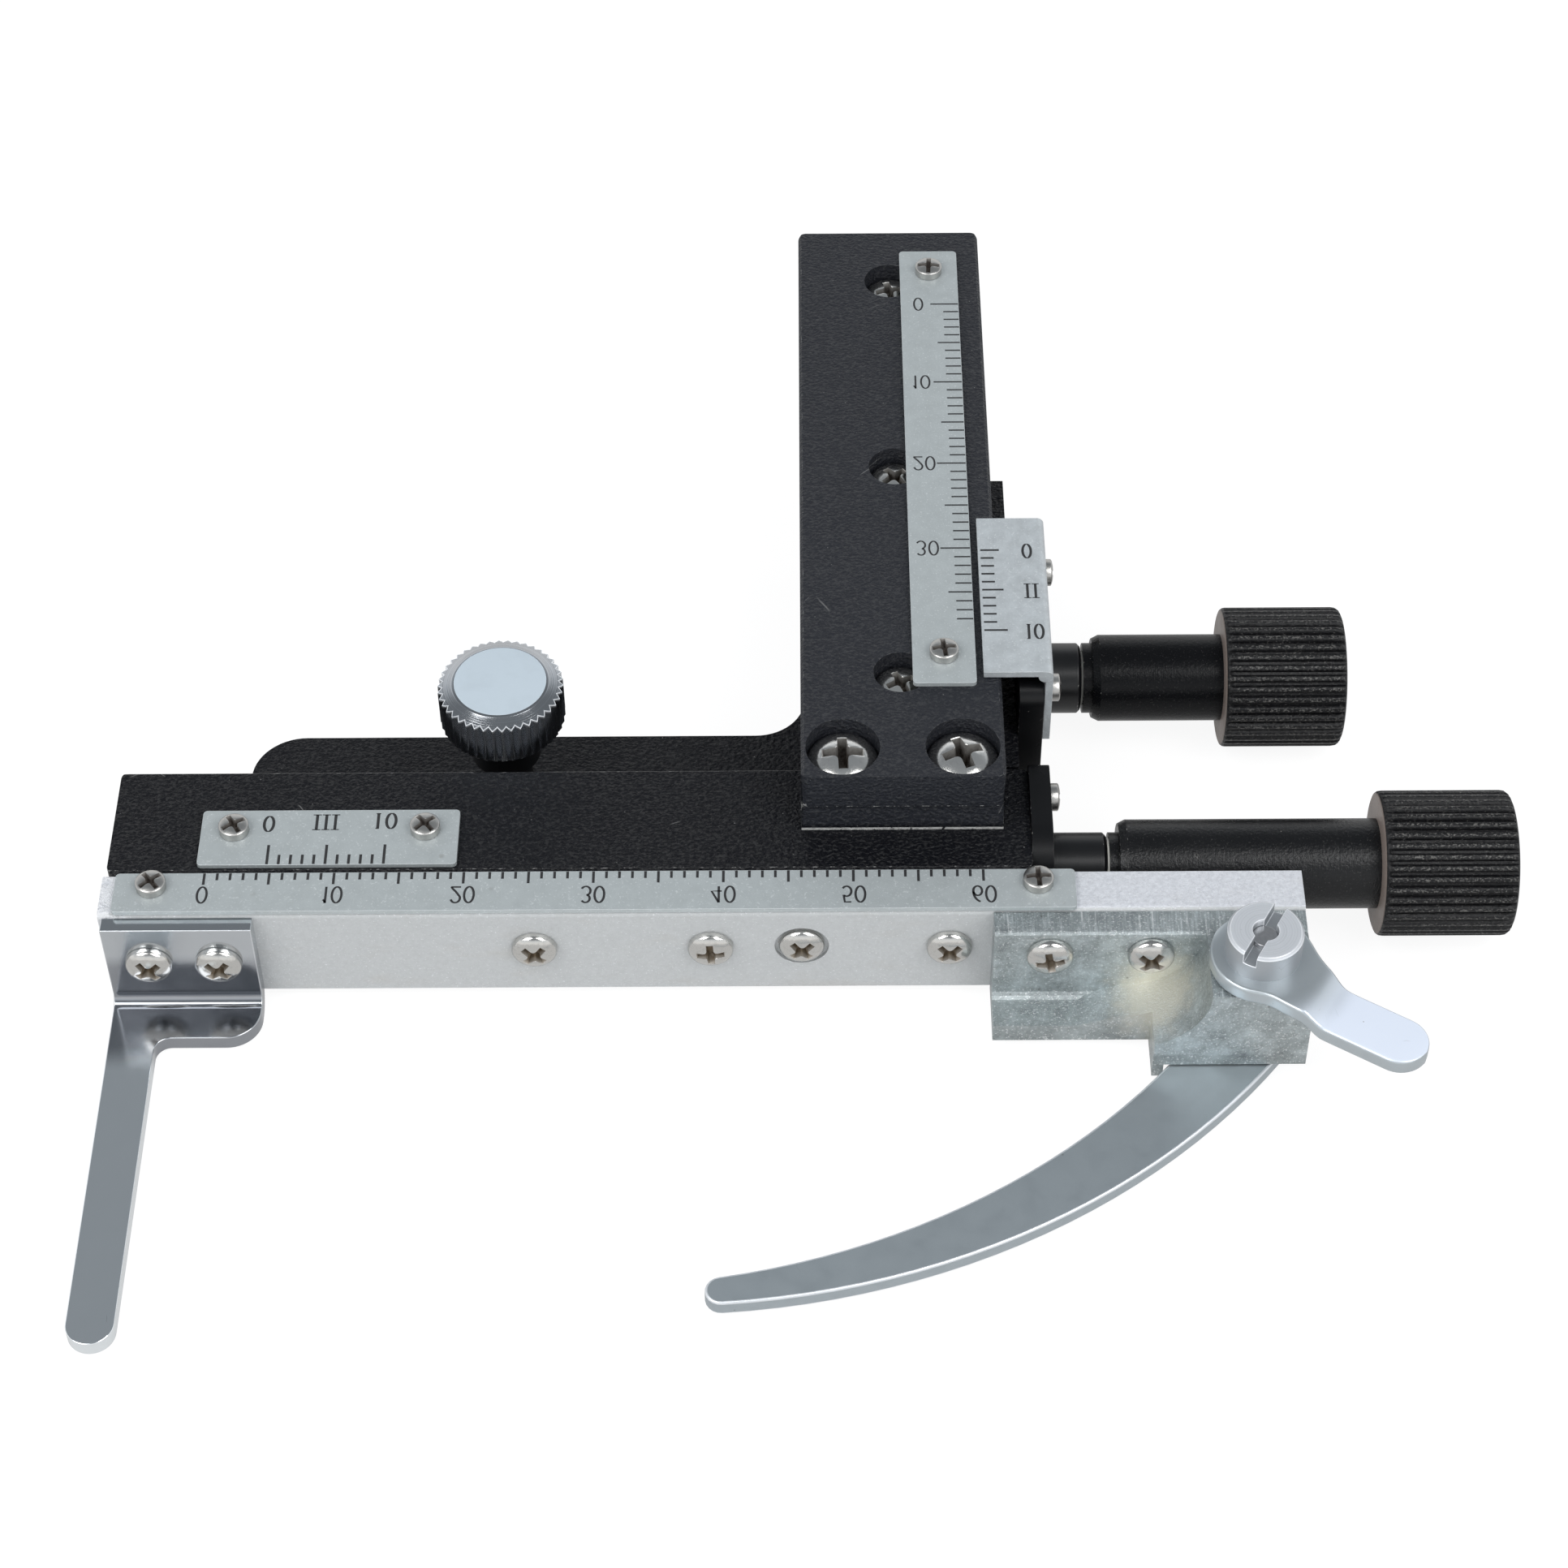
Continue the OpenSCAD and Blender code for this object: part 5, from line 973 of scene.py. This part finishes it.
def pan_head(bm, place, radius, height, shank, length, turn, form):
    """A domed screw with a cross recess. place takes across, across and along to the object.

    Returns the rows of corners of the recess, from its lip down.
    """
    reach, half = radius * form[0], radius * form[1]
    angles = recess_angles(reach, half)
    rim = height * form[3]
    bottom = height * (1 - form[2])

    def dome(r):
        return rim + (height - rim) * math.sqrt(max(0.0, 1 - (r / radius) ** 2))

    def loop(size, z):
        return [place(size(a) * math.cos(a + turn), size(a) * math.sin(a + turn), z(size(a))) for a in angles]

    outline = {a: cross_outline(a, reach, half) for a in angles}
    lip = radius * 0.02
    inner = [share for share in (1.0, 0.985, 0.95, 0.89, 0.81, 0.73) if share > form[0] + 0.04]
    # Shank and underside, dome down to the lip, then the walls and the floor of the recess
    rings = [(lambda a: shank, lambda r: -length), (lambda a: shank, lambda r: 0.0),
             (lambda a: radius * 0.93, lambda r: 0.0), (lambda a: radius, lambda r: height * 0.08)]
    rings += [(lambda a, share=share: radius * share, dome) for share in inner]
    rings += [(lambda a, share=share: mix(outline[a] + lip, radius * inner[-1], share), dome)
              for share in (0.55, 0.12)]
    rings += [(lambda a: outline[a] + lip, lambda r: dome(r) - radius * 0.004),
              (lambda a: outline[a], lambda r: dome(r) - radius * 0.03),
              (lambda a: outline[a] * 0.86, lambda r: mix(bottom, height, 0.35)),
              (lambda a: outline[a] * 0.55, lambda r: bottom)]
    rows = skin(bm, [loop(*ring) for ring in rings])
    return rows[-3:]


class STAGE_OT_screws(bpy.types.Operator):
    """Drives the domed cross-recess screws into their holes."""

    bl_idname = "mechanical_stage.screws"
    bl_label = "Screws"

    def execute(self, context):
        for node, (body, axis, head_h, grow, form, turns) in SCREWS.items():
            bm = bmesh.new()
            # Each row of a recess carries its share of dirt and painted shade
            recess_dirt_and_shade = bm.verts.layers.float.new("recess_dirt_and_shade")
            for corners, turn in zip(solids(node), turns):
                rows = self.one(bm, corners, axis, head_h, grow, form, math.radians(turn))
                for row, share in zip(rows, RECESS_DIRT_AND_SHADE):
                    for vert in row:
                        vert[recess_dirt_and_shade] = share
            metal = {SMALL: "dull_nickel", BOLT: "bolt_nickel"}.get(form, "nickel")
            seat(piece_from(bm, node + "_finished", metal, 0.55), body, "nickel_screw", node)
        for node in ("y_plate_screws", "y_grub_screw", "x_grub_screw"):
            coat(node, "black_steel")
        return {"FINISHED"}

    def one(self, bm, corners, axis, head_h, grow, form, turn):
        """Puts one screw where a solid has it, with its head on top, on the right or in front."""
        low, high = corners
        middle, size = (low + high) / 2, high - low
        place = {
            "Z": lambda u, v, w: (middle.x + u, middle.y + v, high.z - head_h + w),
            "X": lambda u, v, w: (high.x - head_h + w, middle.y + u, middle.z + v),
            "Y": lambda u, v, w: (middle.x + u, low.y + head_h - w, middle.z + v),
        }[axis]
        radius = (size.y if axis == "X" else size.x) / 2
        length = size["XYZ".index(axis)] - head_h
        tall = head_h * (1 + (grow - 1) * 2)
        return pan_head(bm, place, radius * grow, tall, radius * SHANK, length, turn, form)


class STAGE_OT_knobs(bpy.types.Operator):
    """Moulds the two ribbed knobs and finishes their sleeves, bushes and shafts."""

    bl_idname = "mechanical_stage.knobs"
    bl_label = "Knobs"

    def execute(self, context):
        self.knob("y_knob", "y_drive")
        self.knob("x_knob", "x_drive")
        soften("y_knob_sleeve", 0.07, "short_sleeve", "y_drive", "sleeve_black", angle=0.4)
        soften("x_knob_sleeve", 0.07, "sleeve", "x_drive", "sleeve_black", angle=0.4)
        soften("y_bush", 0.05, "bush", "base", "black_bush", angle=0.4)
        soften("x_bush", 0.05, "bush", "y_carriage", "black_bush", angle=0.4)
        for node in ("y_pinion_shaft", "x_worm_shaft"):
            coat(node, "shaft")
        for node in ("y_thrust_washer", "x_thrust_washer"):
            coat(node, "nylon")
        return {"FINISHED"}

    def knob(self, node, body):
        t = settings().turning
        low, high = box(node)
        cy, cz = (low.y + high.y) / 2, (low.z + high.z) / 2
        radius = (high.z - low.z) / 2
        bore, dimple = 3.55, 1.8
        around = t.ribs * 8
        first, last = low.x + KNOB_INSET[0], high.x - KNOB_INSET[1]
        # Place along the axis, radius and share of the ribs' depth
        stations = [(low.x + 1.2, bore, 0), (first, bore, 0), (first, radius - 0.34, 0),
                    (first + 0.08, radius - 0.14, 0), (first + 0.24, radius - 0.03, 0.1),
                    (first + 0.45, radius, 0.7), (first + 0.7, radius, 1), (last - 0.7, radius, 1),
                    (last - 0.36, radius - 0.05, 0.8), (last - 0.13, radius - 0.22, 0.3),
                    (last, radius - 0.52, 0), (last, dimple, 0), (last - 0.12, dimple - 0.3, 0)]
        angles = [2 * math.pi * i / around for i in range(around)]
        grooves = [smooth_step(-math.cos(a * t.ribs), -0.25, 0.75) for a in angles]
        tips = [smooth_step(math.cos(a * t.ribs), 0.3, 1.0) for a in angles]
        loops = []
        for x, r, ribbed in stations:
            deep = [r - t.rib_depth * ribbed * groove for groove in grooves]
            loops.append([(x, cy + d * math.cos(a), cz + d * math.sin(a)) for a, d in zip(angles, deep)])
        bm = bmesh.new()
        # The tip layer marks the rib tips, which the knob finish paints with highlights
        layer = bm.verts.layers.float.new("tip")
        for (x, r, ribbed), row in zip(stations, skin(bm, loops)):
            for vert, tip in zip(row, tips):
                vert[layer] = ribbed * tip
        seat(piece_from(bm, node + "_moulded", "knob", 0.8), body, "knob_black", node)


class STAGE_OT_clamp(bpy.types.Operator):
    """Turns and knurls the clamp screw's head and blackens its shoulder."""

    bl_idname = "mechanical_stage.clamp"
    bl_label = "Clamp screw"

    def execute(self, context):
        t = settings().turning
        low, high = box("clamp_head")
        radius, height = (high.x - low.x) / 2, high.z - low.z
        face, slope, around = 3.72, 0.40, t.teeth * 8
        below = [(1.56, 0.0), (radius - 0.62, 0.0), (radius - 0.45, 0.06), (radius - 0.16, 0.36),
                 (radius, 0.6)]

        def cone(r):
            """Height of the bevel round the face."""
            return height - 0.05 - slope * (r - face - 0.14)

        loops = [[] for _ in range(len(below) + 7)]
        for i in range(around):
            a = 2 * math.pi * i / around
            tooth = abs((i * t.teeth / around) % 1.0 - 0.5) * 2
            limit = radius - t.tooth_depth * (1 - tooth ** 0.9)
            places = [(min(r, limit), z) for r, z in below]
            places.append((limit, cone(limit) - 0.3))
            places += [(r, cone(r)) for r in (limit, limit - 0.13, mix(limit, face + 0.14, 0.5), face + 0.14)]
            places += [(face + 0.06, height - 0.01), (face - 0.05, height)]
            for loop, (r, z) in zip(loops, places):
                loop.append((r * math.cos(a), r * math.sin(a), low.z + z))
        bm = bmesh.new()
        # The row at the teeth's tips carries the edge value, which the head's finish paints as bright
        # highlights
        edge = bm.verts.layers.float.new("edge")
        for vert in skin(bm, loops)[len(below) + 1]:
            vert[edge] = 1.0
        head = piece_from(bm, "clamp_head_knurled", "head", 0.45)
        seat(head, "clamp_knob", "bright_chrome", "clamp_head")
        head.data.materials.append(finish("face"))
        max(head.data.polygons, key=lambda p: p.center.z).material_index = 1
        soften("clamp_stud", 0.1, "black_steel", "clamp_screw", "blackened_steel")
        return {"FINISHED"}


class STAGE_OT_fingers(bpy.types.Operator):
    """Plates the fixed finger, the curved finger and the bracket between them."""

    bl_idname = "mechanical_stage.fingers"
    bl_label = "Fingers and bracket"

    def execute(self, context):
        soften("fixed_finger", 0.2, "finger", "x_slide", "bright_chrome", segments=3)
        soften("finger_bracket", 0.17, "zinc", "x_slide", "zinc_plate", angle=0.32)
        soften("curved_finger", 0.2, "steel", "finger", "grey_steel", segments=3)
        soften("pivot_post", 0.08, "shaft", "finger", "shaft_steel")
        soften("lever_nut", 0.1, "nut", "finger", "bright_chrome")
        coat("torsion_spring", "shaft")
        self.lever()
        return {"FINISHED"}

    def lever(self):
        """The pressed lever: disc, a smooth step down and the arm, with rolled edges."""
        nut_low, nut_high = box("lever_nut")
        pivot = (nut_low + nut_high) / 2
        # Radius of the disc; length, side shift and end radius of the arm; its step down, sheet and direction
        disc, reach, side, end = 3.95, 12.1, 1.35, 2.2
        drop, thick, aim = 0.95, 1.4, math.radians(-32)
        # Outline on each side: places along the arm and across it
        upper = [(-disc, 0.0), (3.03, 2.54), (4.35, 1.62), (5.6, 1.06), (6.9, 0.85), (reach, end - side)]
        lower = [(-disc, 0.0), (2.09, -3.35), (3.7, -3.52), (5.73, -side - end), (reach, -side - end)]

        def outline(table, sign, u):
            if u <= table[1][0]:
                return sign * math.sqrt(max(0.0, disc * disc - u * u))
            if u >= reach:
                return -side + sign * math.sqrt(max(0.0, end * end - (u - reach) ** 2))
            for (u0, v0), (u1, v1) in zip(table[1:], table[2:]):
                if u <= u1:
                    return mix(v0, v1, (u - u0) / (u1 - u0))
            return table[-1][1]

        def edge(table, sign, u):
            """The outline with its corners smoothed."""
            if u < 1.0 or u > reach - 0.8:
                return outline(table, sign, u)
            return sum(outline(table, sign, u + 0.16 * k) for k in range(-5, 6)) / 11

        far = reach + end
        stations = [-disc + (disc + 2.0) * (1 - math.cos(math.pi / 2 * i / 14)) for i in range(14)]
        stations += [2.0 + (reach - 2.0) * i / 26 for i in range(26)]
        stations += [reach + end * math.sin(math.pi / 2 * i / 12) for i in range(13)]
        roll, around = 0.3, 5
        loops = []
        for u in stations:
            u = min(max(u, -disc + 0.004), far - 0.004)
            top, bottom = edge(upper, 1, u), edge(lower, -1, u)
            z = nut_low.z - drop * smooth_step(u, 4.9, 6.9)
            r = min(roll, (top - bottom) * 0.45)
            section = []
            for cv, cz, first in ((top - r, -r, 0), (bottom + r, -r, 90), (bottom + r, r - thick, 180),
                                  (top - r, r - thick, 270)):
                for v, w in arc(cv, z + cz, r, r, first, first + 90, around):
                    section.append((u, v, w))
            loops.append([(pivot.x + u * math.cos(aim) - v * math.sin(aim),
                           pivot.y + u * math.sin(aim) + v * math.cos(aim), w) for u, v, w in section])
        bm = bmesh.new()
        skin(bm, loops)
        made = piece_from(bm, "release_lever_pressed", "lever", 1.2)
        seat(made, "finger", "bright_chrome", "release_lever")


class STAGE_OT_works(bpy.types.Operator):
    """Finishes the racks and slide strips inside."""

    bl_idname = "mechanical_stage.works"
    bl_label = "Racks and slides"

    def execute(self, context):
        for node in ("y_slide_strip", "y_rack", "x_slide_rack"):
            coat(node, "brass")
        return {"FINISHED"}


OPERATORS = (STAGE_OT_backdrop, STAGE_OT_castings, STAGE_OT_slide, STAGE_OT_engraving, STAGE_OT_screws,
             STAGE_OT_knobs, STAGE_OT_clamp, STAGE_OT_fingers, STAGE_OT_works)


class STAGE_PT_sidebar(bpy.types.Panel):
    """Lists the steps that finish the stage."""

    bl_label = "Mechanical stage"
    bl_idname = "STAGE_PT_sidebar"
    bl_space_type = "VIEW_3D"
    bl_region_type = "UI"
    bl_category = "Mechanical stage"

    def draw(self, context):
        for operator in OPERATORS:
            self.layout.operator(operator.bl_idname)


CLASSES = (CameraSettings, LightSettings, FinishSettings, ScaleSettings, TurningSettings, StageSettings,
           *OPERATORS, STAGE_PT_sidebar)


def register():
    for cls in CLASSES:
        bpy.utils.register_class(cls)
    bpy.types.Scene.mechanical_stage = PointerProperty(type=StageSettings)


def unregister():
    del bpy.types.Scene.mechanical_stage
    for cls in reversed(CLASSES):
        bpy.utils.unregister_class(cls)


def main():
    register()
    for operator in OPERATORS:
        group, name = operator.bl_idname.split(".")
        getattr(getattr(bpy.ops, group), name)()


if __name__ == "__main__":
    main()
